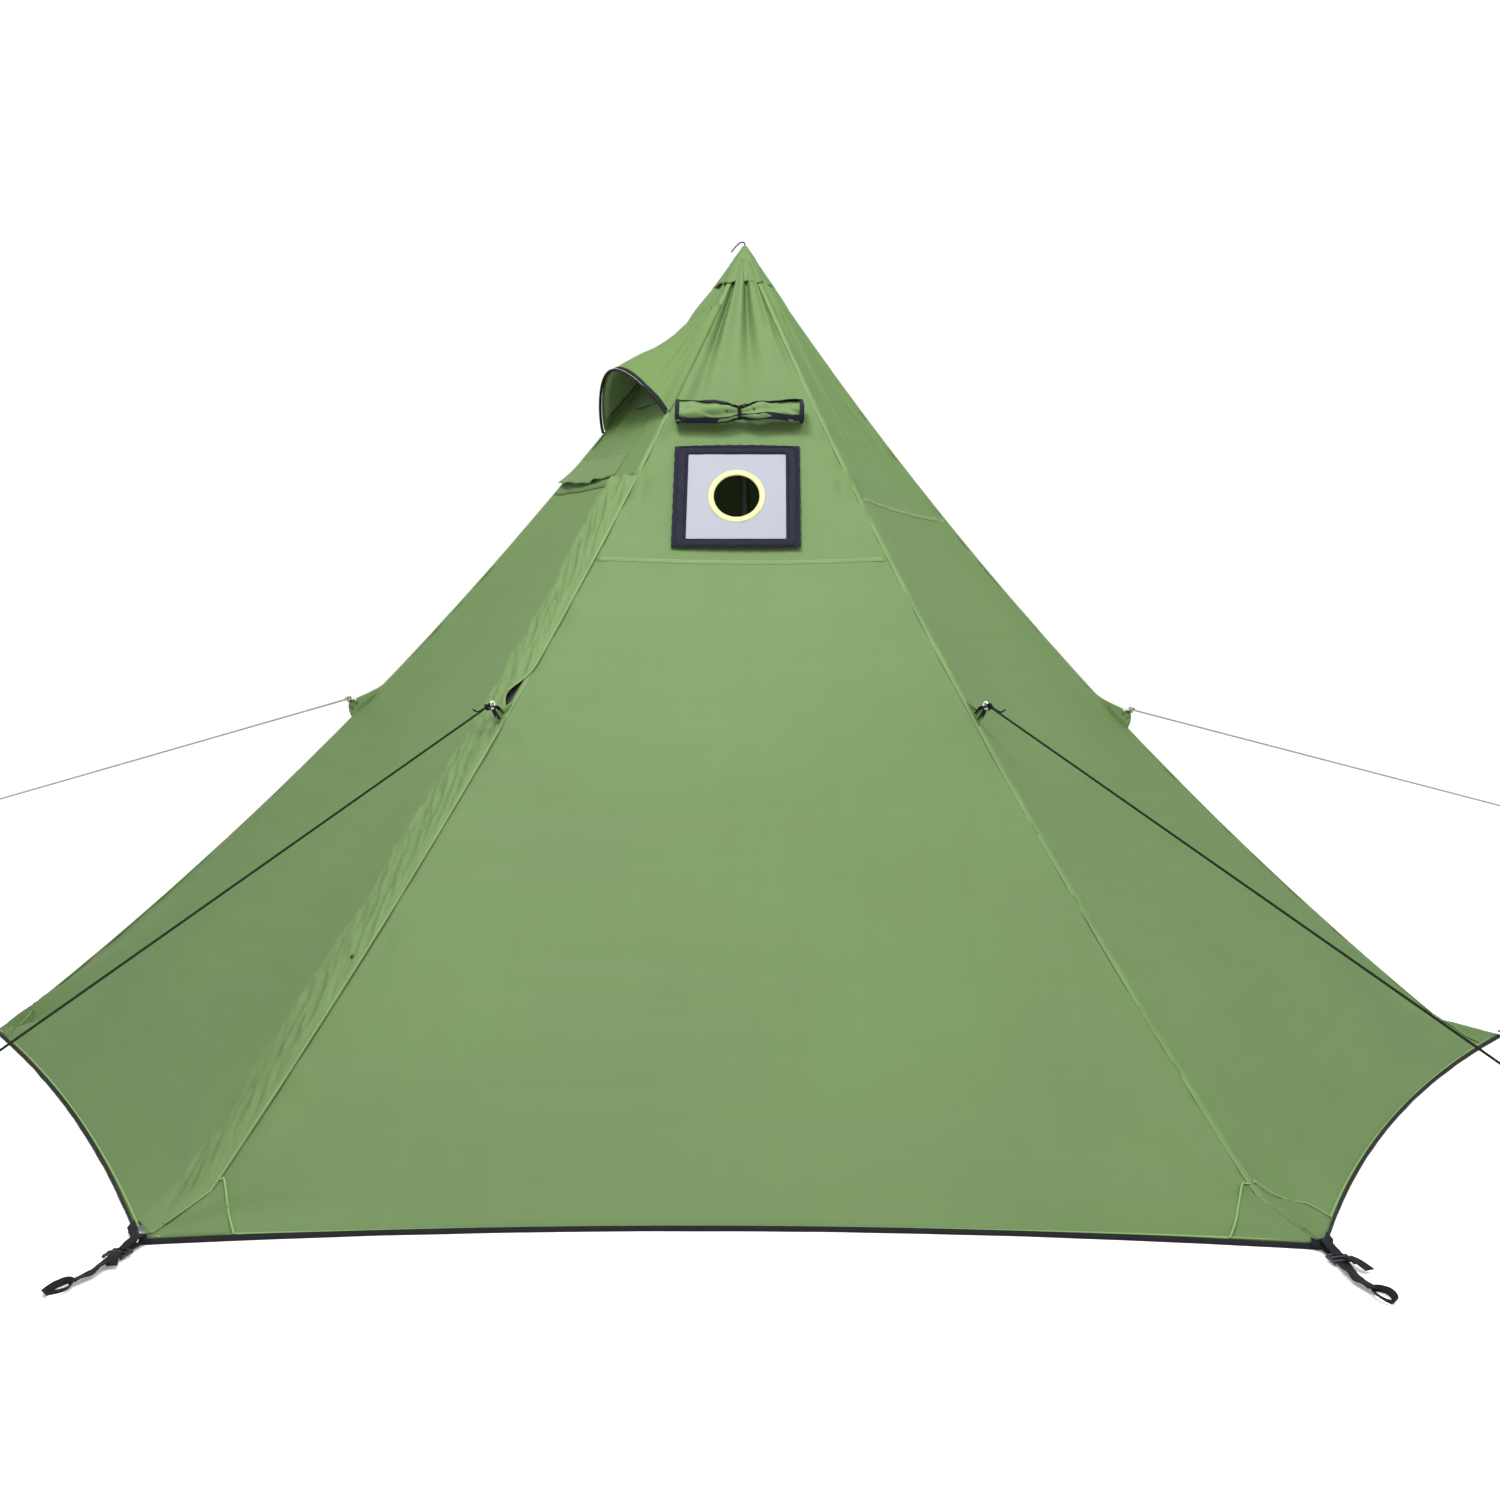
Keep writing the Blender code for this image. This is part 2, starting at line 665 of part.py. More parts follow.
def stove_jack(panel, colours):
    """The heat-proof panel with its pipe hole, its border, the ring round the hole and the rolled cover."""
    place = jack_frame_matrix(JACK_CENTRE)
    outline = ellipse(1, 1, 32)
    cutter_outline = rectangle_like(ellipse(1, 1, 4, math.pi / 4), *JACK_WINDOW)
    sections = [[place @ Vector((x, y, z)) for x, y in cutter_outline] for z in (-0.03, 0.03)]
    cutter = sweep("jack_window_cutter", sections, colours["green"])
    cutter.hide_render = True
    cutter.display_type = "WIRE"
    cut = panel.modifiers.new("jack_window", "BOOLEAN")
    cut.operation = "DIFFERENCE"
    cut.object = cutter
    pieces = (
        ("jack_panel", JACK_PANEL_SIZE, JACK_HOLE, -0.0012, 0.0012, "grey"),
        ("jack_ring", None, JACK_RING_INNER, 0.0004, 0.0010, "tan"),
    )
    for name, size, hole, low, depth, colour in pieces:
        hole_loop = [(x * hole[0], y * hole[1]) for x, y in outline]
        if size:
            outer = rectangle_like(outline, *size)
        else:
            outer = [(x * JACK_RING_OUTER[0], y * JACK_RING_OUTER[1]) for x, y in outline]
        made = ring_solid(name, outer, hole_loop, depth, colours[colour])
        made.matrix_basis = place @ Matrix.Translation((0, 0, low))
    square = ellipse(1, 1, 4, math.pi / 4)
    border = ring_solid(
        "jack_frame",
        rectangle_like(square, *JACK_FRAME_SIZE),
        rectangle_like(square, *JACK_FRAME_INNER),
        0.0012,
        colours["black"],
    )
    border.matrix_basis = place @ Matrix.Translation((0, 0, 0.0018))
    half = ROLL_LENGTH / 2
    profile = [
        (0, -half),
        (ROLL_RADIUS * 0.9, -half),
        (ROLL_RADIUS, -half * 0.7),
        (ROLL_RADIUS * 0.9, -half * 0.3),
        (ROLL_WAIST, -0.008),
        (ROLL_WAIST, 0.008),
        (ROLL_RADIUS * 0.9, half * 0.3),
        (ROLL_RADIUS, half * 0.7),
        (ROLL_RADIUS * 0.9, half),
        (0, half),
    ]
    lie = jack_frame_matrix(ROLL_CENTRE)
    lie = lie @ Matrix.Translation((0.004, 0, ROLL_RADIUS + 0.003)) @ Matrix.Rotation(math.pi / 2, 4, "Y")
    turned("jack_cover_roll", profile, colours["green"]).matrix_basis = lie
    tie = [(ROLL_WAIST + 0.0005, -0.005), (ROLL_WAIST + 0.0030, -0.005)]
    tie += [(ROLL_WAIST + 0.0030, 0.005), (ROLL_WAIST + 0.0005, 0.005)]
    turned("jack_cover_tie", tie, colours["black"], closed=True).matrix_basis = lie


def pole(metal, rubber):
    """Three tubes, each with a spigot in the one below, on a rubber foot."""
    names = ("pole_lower", "pole_middle", "pole_upper")
    for index, name in enumerate(names):
        radius = POLE_RADII[index]
        low, high = POLE_JOINTS[index], POLE_JOINTS[index + 1] - 0.0005
        profile = [(0, low), (radius, low), (radius, high)]
        if index:
            spigot = POLE_RADII[index - 1] - POLE_WALL - 0.0004
            profile = [(0, low - SPIGOT), (spigot, low - SPIGOT), (spigot, low), (radius, low)]
            profile.append((radius, high))
        if index < len(names) - 1:
            bore = radius - POLE_WALL
            profile += [(bore, high), (bore, high - SPIGOT - 0.010), (0, high - SPIGOT - 0.010)]
        else:
            profile = profile[:-1] + [(radius, high - 0.040), (0.005, high - 0.012), (0.005, high), (0, high)]
        if index:
            profile = [point for point in profile if point[0] <= max(radius, spigot)]
        turned(name, profile, metal)
    foot = [(0, 0), (0.022, 0), (0.022, 0.008), (0.0165, 0.030), (0.0143, 0.030)]
    foot += [(0.0143, POLE_JOINTS[0] - 0.0004), (0, POLE_JOINTS[0] - 0.0004)]
    turned("pole_foot", foot, rubber)


def hem_strip(face, inset_one, inset_two, colour):
    """The webbing along one face's hem. The insets are from the second and the first corner."""
    one, two, _ = FACES[face]
    width = (corner(one) - corner(two)).length
    inwards = -(corner(one) + corner(two)).normalized()
    sections = []
    for u in spread(inset_two / width, 1 - inset_one / width, HEM_STEPS + 1):
        foot = hem_point(face, u, 0)
        section = []
        for offset, height in ((-0.5, 0), (0.5, 0), (0.5, HEM_TOP), (-0.5, HEM_TOP)):
            section.append(foot + inwards * (offset * HEM_THICKNESS) + Vector((0, 0, height)))
        sections.append(section)
    return sweep(f"{face}_hem", sections, colour)


def corner_straps(webbing, plastic):
    """At each corner a buckle with its sleeve, and a strap with a peg loop that slides through them."""
    for name in RIDGE_HEADINGS:
        along = heading(STRAP_HEADINGS[name])
        across = Vector((-along.y, along.x, 0))
        origin = corner(name) + along * BUCKLE_OFFSET
        square = ellipse(1, 1, 4, math.pi / 4)
        outer = rectangle_like(square, 0.030, 0.009)
        inner = rectangle_like(square, 0.0194, 0.0030)
        buckle = ring_solid(f"{name}_buckle", outer, inner, BUCKLE_LENGTH, plastic)
        up = Vector((0, 0, 1))
        buckle.matrix_basis = frame_matrix(origin + up * 0.0045, across, up, along)
        outline = [(0.150, 0.0085), (0.190, 0.0170), (0.212, 0.0170), (0.212, -0.0170)]
        outline += [(0.190, -0.0170), (0.150, -0.0085), (-0.004, -0.0085), (-0.004, 0.0085)]
        hole = circle_like(outline, 0.0090, (0.196, 0.0))
        strap = ring_solid(f"{name}_strap", outline, hole, 0.0020, webbing)
        strap.matrix_basis = frame_matrix(origin + up * STRAP_LIFT, along, across, up)


def guy_points(name):
    """Where a ridge's guy line leaves its tab, and the point on the ground that it aims for."""
    if name in ("left", "right"):
        tip = ridge_point(name, GUY_SEAM, SIDE_REACH)
    else:
        tip = ridge_point(name, GUY_SEAM + 0.004, FRONT_REACH)
    aim = heading(RIDGE_HEADINGS[name]) * STAKE_RADII[name] + Vector((0, 0, STAKE_HEIGHT))
    return tip, aim


def guy_outs(green, cord, plastic):
    """A cloth tab on each ridge. The four that hold a line have it, with a runner on the line."""
    for name in RIDGE_HEADINGS:
        point, down, outwards, sideways = ridge_frame(name, GUY_SEAM)
        reach = SIDE_REACH if name in ("left", "right") else FRONT_REACH
        outline = [(-0.075, 0.0020), (-0.030, 0.44 * reach), (0.004, 0.88 * reach), (0.016, 0.88 * reach)]
        outline += [(0.026, 0.68 * reach), (0.030, 0.0020), (0.004, 0.0020), (-0.030, 0.0020)]
        hole = circle_like(outline, 0.0050, (0.010, 0.64 * reach))
        tab = ring_solid(f"{name}_guy_tab", outline, hole, 0.0016, green)
        tab.matrix_basis = frame_matrix(point - sideways * 0.0008, down, outwards, down.cross(outwards))
        if name.startswith("rear"):
            continue
        tip, aim = guy_points(name)
        along = (aim - tip).normalized()
        length = (aim - tip).length
        back = RUNNER_FROM_END
        if name in ("left", "right"):
            length = (SIDE_CORD_END - abs(tip.x)) / abs(along.x)
            back = SIDE_RUNNER_FROM_END
        route = [tip + along * distance for distance in spread(0, length, CORD_POINTS)]
        tube(f"{name}_guy_line", route, CORD_RADIUS, cord)
        loop = ellipse(1, 1, 12, math.pi / 12)
        outer = rectangle_like(loop, 0.014, 0.007)
        inner = [(0.0022 * x, 0.0022 * y) for x, y in loop]
        runner = ring_solid(f"{name}_guy_runner", outer, inner, 0.034, plastic)
        level = along.cross(Vector((0, 0, 1))).normalized()
        place = tip + along * (length - back)
        runner.matrix_basis = frame_matrix(place, level, along.cross(level), along)


def main():
    clear_scene()
    green = material("fly_green", GREEN)
    trim_green = material("trim_green", GREEN_DARK)
    black = material("webbing_black", BLACK, 0.8)
    netting = material("netting_black", BLACK, 0.9)
    plastic = material("plastic_black", BLACK, 0.45)
    grey = material("jack_grey", GREY, 0.85)
    tan = material("jack_tan", TAN, 0.8)
    metal = material("zip_metal", STEEL, 0.35, 1.0)
    aluminium = material("pole_aluminium", STEEL, 0.3, 1.0)
    rubber = material("rubber_black", BLACK, 0.9)
    cord = material("cord_grey", (0.10, 0.11, 0.10), 0.8)

    panels = fly_panels(green)
    vent_panel(green, netting)
    vent_hood(green, black)
    door(green, black, black)
    zip_parts(black, metal)
    cap_and_cord(trim_green, cord)
    colours = {"green": green, "grey": grey, "tan": tan, "black": black}
    stove_jack(panels["front_upper_panel"], colours)
    pole(aluminium, rubber)
    for face in FACES:
        if face != "door":
            hem_strip(face, HEM_INSET, HEM_INSET, black)
    corner_straps(black, plastic)
    guy_outs(trim_green, cord, plastic)


main()
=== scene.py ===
import math

import bmesh
import bpy
from mathutils import Matrix, Vector, noise


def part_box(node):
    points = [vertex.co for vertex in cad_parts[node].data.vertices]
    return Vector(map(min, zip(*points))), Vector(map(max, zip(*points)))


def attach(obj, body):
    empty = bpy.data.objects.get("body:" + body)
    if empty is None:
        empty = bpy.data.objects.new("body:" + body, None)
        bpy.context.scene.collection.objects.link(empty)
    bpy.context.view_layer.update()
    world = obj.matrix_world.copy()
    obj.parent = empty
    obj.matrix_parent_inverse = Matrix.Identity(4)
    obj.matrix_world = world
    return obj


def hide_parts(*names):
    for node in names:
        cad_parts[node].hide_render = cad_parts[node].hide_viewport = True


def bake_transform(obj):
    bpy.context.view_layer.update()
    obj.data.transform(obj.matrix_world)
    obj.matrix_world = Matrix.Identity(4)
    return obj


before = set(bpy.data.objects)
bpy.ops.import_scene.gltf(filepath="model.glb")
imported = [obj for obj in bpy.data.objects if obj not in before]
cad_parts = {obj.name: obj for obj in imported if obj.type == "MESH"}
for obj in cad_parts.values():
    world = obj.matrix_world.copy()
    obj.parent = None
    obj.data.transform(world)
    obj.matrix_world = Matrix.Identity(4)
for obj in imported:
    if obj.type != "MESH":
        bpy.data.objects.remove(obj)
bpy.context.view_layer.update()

# The tent's driving dimensions, as in the CAD, in metres
PEAK_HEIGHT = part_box("apex_cap")[1].z - 0.004
CORNER_RADIUS = 1.60
HEADINGS = {
    "right": 0,
    "rear_right": 60,
    "rear_left": 120,
    "left": 180,
    "front_left": 240,
    "front_right": 300,
}
BOWS = {
    "right": (0.090, 0.050),
    "rear_right": (0.061, 0.047),
    "rear_left": (0.061, 0.047),
    "left": (0.084, 0.001),
    "front_left": (0.061, 0.047),
    "front_right": (0.061, 0.047),
}
FACES = {
    "right_rear": ("right", "rear_right", 0.060),
    "rear": ("rear_right", "rear_left", 0.070),
    "left_rear": ("rear_left", "left", 0.060),
    "door": ("left", "front_left", 0.030),
    "front": ("front_left", "front_right", 0.070),
    "right_front": ("front_right", "right", 0.055),
}
LAST_ARC_ROW = 0.95
CLOTH = 0.0008
HEM_LINE = 0.0065
UP = Vector((0, 0, 1))

# Places, as fractions of a ridge from the peak
CLOTH_TOP = 0.014
CAP_HEM = 0.047
DOOR_TOP = 0.2845
VENT_CENTRE = 0.145
VENT_WINDOW = (0.100, 0.165)
VENT_FOOT = 0.2835
FRONT_SEAM = 0.378
SIDE_SEAM = 0.307
GUY_SEAM = 0.545
FRONT_REACH = 0.042
SIDE_REACH = 0.030
STAKE_RADII = {"front_left": 2.50, "front_right": 2.60, "left": 3.30, "right": 3.45}
JACK_CENTRE = 0.3075
JACK_WINDOW = (0.194, 0.220)
JACK_HOLE = (0.0435, 0.0530)  # half the hole's width and height in the grey panel
JACK_HALF = (0.100, 0.114)
ROLL_CENTRE = 0.218
ROLL_RADIUS = 0.0200
ROLL_TURNS = 2.6
HOOD_SPAN = (0.075, 0.208)
DOOR_EDGE = 0.0505
SNAP_AT = 0.768


def heading(degrees):
    angle = math.radians(degrees)
    return Vector((math.cos(angle), math.sin(angle), 0))


def ridge_arc(name):
    """Centre, radius, first angle and sweep of the ridge's arc, as (distance from the pole, height)."""
    bow, toe = BOWS[name]
    inwards = Vector((-PEAK_HEIGHT, -CORNER_RADIUS)).normalized()
    peak = Vector((0, PEAK_HEIGHT))
    foot = Vector((CORNER_RADIUS, 0)) + inwards * toe
    chord = foot - peak
    outwards = Vector((-chord.y, chord.x)).normalized()
    radius = chord.length_squared / (8 * bow) + bow / 2
    centre = (peak + foot) / 2 + outwards * (radius - bow)
    first = math.atan2(peak.y - centre.y, peak.x - centre.x)
    last = math.atan2(foot.y - centre.y, foot.x - centre.x)
    swing = (last - first + math.pi) % (2 * math.pi) - math.pi
    return centre, radius, first, swing


ARCS = {name: ridge_arc(name) for name in HEADINGS}


def ridge_frame(name, fraction):
    """Point on the ridge, and its directions down the ridge, outwards, and sideways."""
    centre, radius, first, swing = ARCS[name]
    angle = first + swing * min(fraction, LAST_ARC_ROW)
    away = heading(HEADINGS[name])
    point = away * (centre.x + radius * math.cos(angle))
    point.z = centre.y + radius * math.sin(angle)
    outwards = -(away * math.cos(angle) + UP * math.sin(angle))
    sideways = Vector((away.y, -away.x, 0))
    down = sideways.cross(outwards)
    if down.z > 0:
        down = -down
    if fraction > LAST_ARC_ROW:
        share = (fraction - LAST_ARC_ROW) / (1 - LAST_ARC_ROW)
        foot = corner(name, HEM_LINE)
        down = (foot - point).normalized()
        outwards = down.cross(sideways)
        if outwards.z < 0:
            outwards = -outwards
        point = point.lerp(foot, share)
    return point, down, outwards, sideways


def ridge_point(name, fraction, out=0.0, side=0.0):
    point, _, outwards, sideways = ridge_frame(name, fraction)
    return point + outwards * out + sideways * side


def corner(name, height=0.0, away=0.0):
    point = heading(HEADINGS[name]) * (CORNER_RADIUS + away)
    point.z = height
    return point


def level_out(face):
    """The level direction out of a face."""
    return (corner(FACES[face][0]) + corner(FACES[face][1])).normalized()


def hem_point(face, u, height):
    first, second, depth = FACES[face]
    point = corner(first).lerp(corner(second), u) - level_out(face) * (4 * depth * u * (1 - u))
    point.z = height
    return point


def spread(first, last, count):
    return [first + (last - first) * step / (count - 1) for step in range(count)]


def flat_point(face, u, fraction):
    """The tight cloth's surface, before any folds."""
    one, two, _ = FACES[face]
    arc = min(fraction, LAST_ARC_ROW)
    point = ridge_point(one, arc).lerp(ridge_point(two, arc), u)
    if fraction > LAST_ARC_ROW:
        share = (fraction - LAST_ARC_ROW) / (1 - LAST_ARC_ROW)
        point = point.lerp(hem_point(face, u, HEM_LINE), share)
    return point


def face_normal(face, u=0.5, fraction=0.5):
    step = 0.01
    low = max(step, min(fraction, 1 - step))
    middle = max(step, min(u, 1 - step))
    across = flat_point(face, middle + step, low) - flat_point(face, middle - step, low)
    down = flat_point(face, middle, low + step) - flat_point(face, middle, low - step)
    normal = down.cross(across).normalized()
    return turned_to(normal, level_out(face))


def turned_to(direction, towards):
    """The direction or its opposite, whichever points more towards another."""
    return direction if direction.dot(towards) > 0 else -direction


def around(count, first=0.0):
    """Cosine and sine of evenly spaced angles round a circle."""
    angles = [first + 2 * math.pi * step / count for step in range(count)]
    return [(math.cos(angle), math.sin(angle)) for angle in angles]


def placed(right, up, normal, origin):
    """A matrix with these axes at this place."""
    matrix = Matrix((right, up, normal)).transposed().to_4x4()
    matrix.translation = origin
    return matrix


def bell(distance, width):
    return math.exp(-((distance / width) ** 2))


def star(face, point, home, reach, height, arms, turn):
    """Folds that fan out from a point where the cloth is pulled."""
    away = point - home
    distance = away.length
    normal = face_normal(face)
    across = UP.cross(normal).normalized()
    angle = math.atan2(away.dot(UP), away.dot(across))
    near = min(distance / 0.03, 1)
    return height * near * math.exp(-distance / reach) * math.sin(arms * angle + turn)


def folds(face, u, fraction, point):
    """How far the cloth stands off its tight surface: folds fade to nothing at the ridges."""
    one, two, _ = FACES[face]
    edge = min(1, math.sin(math.pi * max(0, min(u, 1))) * 2.2)
    seed = list(FACES).index(face) * 3.7
    drape = noise.noise(Vector((u * 3 + seed, fraction * 1.2, seed)))
    top = bell(fraction - 0.085, 0.075)
    height = 0.0090 * top * math.sin(2 * math.pi * (2.4 * u + 0.5 * drape) + seed)
    height += 0.0034 * top * math.sin(2 * math.pi * (5.3 * u + 0.9 * drape - 0.4 * fraction) + 2 * seed)
    height += 0.0020 * bell(fraction - 0.2, 0.12) * math.sin(2 * math.pi * (1.6 * u + drape) + seed)
    broad = noise.noise(point * 1.7 + Vector((seed, 0, 0)))
    fine = noise.noise(point * 5.5 + Vector((0, seed, 0)))
    height += 0.0060 * broad * min(1, fraction * 2) + 0.0011 * fine * (0.35 + fraction)
    width = CORNER_RADIUS * fraction
    pulled = 0.0
    for name, turn, reach in ((one, 0.4, u * width), (two, 1.9, (1 - u) * width)):
        guy = ridge_point(name, GUY_SEAM)
        height += star(face, point, guy, 0.10, 0.0055, 7, turn)
        foot = corner(name, HEM_LINE)
        pull = 0.0240 if face == "door" else 0.0110
        fold = star(face, point, foot, 0.19, pull, 11, turn)
        pulled += fold * min(1, reach / 0.04) * (1 - bell(fraction - 1, 0.016))
    sag = -0.012 * math.sin(math.pi * u) * bell(fraction - 0.55, 0.4)
    hem = 1 - 0.75 * bell(fraction - 1, 0.05)
    pucker = 0.0
    for reach in (u * width, (1 - u) * width):
        crease = noise.noise(Vector((fraction * 44 - reach * 12, reach * 16, seed + 9)))
        deep = 0.0045 + 0.0060 * bell(fraction - 0.27, 0.11)
        pucker += deep * bell(reach - 0.024, 0.020) * crease * min(1, (1 - fraction) * 12)
    return (height * hem + sag) * edge + pucker + pulled


def cloth_point(face, u, fraction, proud=0.0):
    point = flat_point(face, u, fraction)
    return point + face_normal(face, u, fraction) * (folds(face, u, fraction, point) + proud)


# Materials


class Shader:
    """A Principled material with short ways to add its texture nodes."""

    def __init__(self, name, colour, roughness=0.7, metallic=0.0, sheen=0.0):
        self.material = bpy.data.materials.new(name)
        self.material.use_nodes = True
        self.tree = self.material.node_tree
        self.principled = self.tree.nodes["Principled BSDF"]
        self.set("Base Color", (*colour, 1))
        self.set("Roughness", roughness)
        self.set("Metallic", metallic)
        self.set("Sheen Weight", sheen)
        self.set("Sheen Roughness", 0.5)
        self.height = None
        self.coordinates = self.node("ShaderNodeTexCoord")

    def set(self, socket, value):
        self.principled.inputs[socket].default_value = value

    def node(self, kind, **settings):
        made = self.tree.nodes.new(kind)
        for name, value in settings.items():
            if name in made.inputs:
                made.inputs[name].default_value = value
            else:
                setattr(made, name, value)
        return made

    def feed(self, socket, value):
        """Give a socket a number or a colour, or link an output to it."""
        if isinstance(value, tuple):
            socket.default_value = (*value, 1)
        elif isinstance(value, (int, float)):
            socket.default_value = value
        else:
            self.tree.links.new(value, socket)

    def mapped(self, scale=(1, 1, 1), source="UV"):
        mapping = self.node("ShaderNodeMapping")
        mapping.inputs["Scale"].default_value = scale
        self.feed(mapping.inputs["Vector"], self.coordinates.outputs[source])
        return mapping.outputs["Vector"]

    def noise(self, scale, detail=3.0, stretch=(1, 1, 1), source="UV", distortion=0.0):
        made = self.node("ShaderNodeTexNoise", Scale=scale, Detail=detail, Distortion=distortion)
        self.feed(made.inputs["Vector"], self.mapped(stretch, source))
        return made.outputs["Fac"]

    def wave(self, scale, direction, source="UV", distortion=0.0):
        made = self.node("ShaderNodeTexWave", Scale=scale, Distortion=distortion, bands_direction=direction)
        self.feed(made.inputs["Vector"], self.mapped(source=source))
        return made.outputs["Fac"]

    def ramp(self, factor, stops):
        made = self.node("ShaderNodeValToRGB")
        ramp = made.color_ramp
        while len(ramp.elements) < len(stops):
            ramp.elements.new(0.5)
        for element, (place, colour) in zip(ramp.elements, stops):
            element.position = place
            element.color = (*colour, 1)
        self.feed(made.inputs["Fac"], factor)
        return made.outputs["Color"]

    def mix(self, factor, first, second):
        made = self.node("ShaderNodeMix", data_type="RGBA")
        for socket, value in ((0, factor), (6, first), (7, second)):
            self.feed(made.inputs[socket], value)
        return made.outputs[2]

    def compare(self, value, operation, number):
        made = self.node("ShaderNodeMath", operation=operation)
        self.feed(made.inputs[0], value)
        self.feed(made.inputs[1], number)
        return made.outputs[0]

    def colour(self, output):
        self.feed(self.principled.inputs["Base Color"], output)

    def roughness(self, output, low, high):
        made = self.node("ShaderNodeMapRange")
        made.inputs["To Min"].default_value = low
        made.inputs["To Max"].default_value = high
        self.feed(made.inputs["Value"], output)
        self.feed(self.principled.inputs["Roughness"], made.outputs[0])

    def bump(self, output, distance, strength=1.0):
        made = self.node("ShaderNodeBump", Strength=strength, Distance=distance)
        self.feed(made.inputs["Height"], output)
        if self.height is not None:
            self.feed(made.inputs["Normal"], self.height)
        self.height = made.outputs["Normal"]
        self.feed(self.principled.inputs["Normal"], self.height)


def shade(colour, amount):
    return tuple(channel * amount for channel in colour)


def cloth_material(name, colour, contrast=0.10):
    """Coated polyester: fine weave, faint slubs, soft creases and a little uneven dye."""
    made = Shader(name, colour, 0.62)
    made.set("Specular IOR Level", 0.22)
    dye = made.noise(1.6, 4)
    slubs = made.noise(26, 3, (1, 0.08, 1))
    cross = made.noise(26, 3, (0.08, 1, 1))
    base = made.ramp(dye, [(0.3, shade(colour, 1 - contrast)), (0.7, shade(colour, 1 + contrast))])
    darker = made.ramp(slubs, [(0.35, shade(colour, 0.975)), (0.7, shade(colour, 1.025))])
    made.colour(made.mix(0.4, base, darker))
    made.roughness(cross, 0.55, 0.70)
    made.bump(made.noise(7, 5, distortion=0.4), 0.004, 0.30)
    made.bump(made.noise(34, 4, distortion=0.8), 0.0010, 0.35)
    made.bump(made.wave(350, "X"), 0.0001, 0.25)
    made.bump(made.wave(350, "Y"), 0.0001, 0.25)
    return made.material


STITCH = 0.0040  # from one stitch to the next


def seam_material(name, colour, thread, width, rows):
    """A folded seam: its cloth, with rows of stitches along it at these places across it."""
    made = Shader(name, colour, 0.66)
    made.set("Specular IOR Level", 0.22)
    split = made.node("ShaderNodeSeparateXYZ")
    made.feed(split.inputs[0], made.coordinates.outputs["UV"])
    across, along = split.outputs[0], split.outputs[1]
    stitches = made.compare(made.compare(along, "MULTIPLY", 1 / STITCH), "FRACT", 0.0)
    dash = made.compare(stitches, "LESS_THAN", 0.68)
    marks = None
    for row in rows:
        offset = made.compare(made.compare(across, "SUBTRACT", row * width), "ABSOLUTE", 0.0)
        line = made.compare(offset, "LESS_THAN", 0.0007)
        marks = line if marks is None else made.compare(marks, "MAXIMUM", line)
    marks = made.compare(marks, "MULTIPLY", dash)
    cloth = made.ramp(made.noise(9, 4), [(0.3, shade(colour, 0.86)), (0.7, shade(colour, 1.12))])
    made.colour(made.mix(marks, cloth, thread))
    made.bump(made.noise(60, 3, (1, 0.35, 1)), 0.0015, 0.5)
    made.bump(marks, 0.0006, 0.7)
    return made.material


def webbing_material(name, colour, pitch=0.0016):
    """Ribbed webbing, worn paler on its raised threads."""
    made = Shader(name, colour, 0.8)
    made.set("Specular IOR Level", 0.10)
    ribs = made.wave(1 / pitch / 2, "Y", distortion=0.3)
    fade = made.noise(40, 4)
    worn = made.ramp(ribs, [(0.2, shade(colour, 0.6)), (0.85, shade(colour, 1.7))])
    plain = made.ramp(fade, [(0.35, shade(colour, 0.8)), (0.7, shade(colour, 1.5))])
    made.colour(made.mix(0.5, worn, plain))
    made.bump(ribs, 0.0004, 0.8)
    made.bump(made.wave(500, "X"), 0.0002, 0.4)
    made.roughness(fade, 0.7, 0.9)
    return made.material


def cord_material(name, colour, fleck):
    """Braided cord with a tracer thread."""
    made = Shader(name, colour, 0.7)
    made.set("Specular IOR Level", 0.10)
    braid = made.wave(60, "DIAGONAL")
    tracer = made.noise(90, 2)
    made.colour(made.mix(made.compare(tracer, "GREATER_THAN", 0.58), colour, fleck))
    made.bump(braid, 0.0004, 0.7)
    made.roughness(tracer, 0.6, 0.85)
    return made.material


def metal_material(name, colour, roughness, brush=(1, 1, 40)):
    made = Shader(name, colour, roughness, 1.0)
    lines = made.noise(30, 4, brush, "Object")
    made.colour(made.ramp(lines, [(0.3, shade(colour, 0.86)), (0.7, shade(colour, 1.08))]))
    made.roughness(lines, roughness * 0.8, roughness * 1.35)
    made.bump(lines, 0.0002, 0.3)
    return made.material


def moulded_material(name, colour, roughness=0.42):
    made = Shader(name, colour, roughness)
    made.set("Specular IOR Level", 0.25)
    grain = made.noise(900, 2, source="Object")
    wear = made.noise(60, 4, source="Object")
    made.colour(made.ramp(wear, [(0.35, shade(colour, 0.85)), (0.75, shade(colour, 1.5))]))
    made.roughness(wear, roughness * 0.85, roughness * 1.3)
    made.bump(grain, 0.0002, 0.35)
    return made.material


def netting_material(name, colour):
    made = Shader(name, colour, 0.85)
    rows = made.wave(220, "X", "Object")
    columns = made.wave(220, "Z", "Object")
    net = made.compare(rows, "MAXIMUM", columns)
    # The gaps between the threads are painted dark: painted shade for the dark inside seen through the net
    made.colour(made.ramp(net, [(0.4, shade(colour, 0.35)), (0.8, shade(colour, 1.8))]))
    made.bump(net, 0.0008, 0.9)
    return made.material


def zip_material(name, tape, teeth):
    made = Shader(name, tape, 0.6)
    coil = made.wave(400, "Z", "Object")
    made.colour(made.ramp(coil, [(0.3, tape), (0.75, teeth)]))
    made.bump(coil, 0.0006, 0.9)
    made.roughness(coil, 0.5, 0.75)
    return made.material


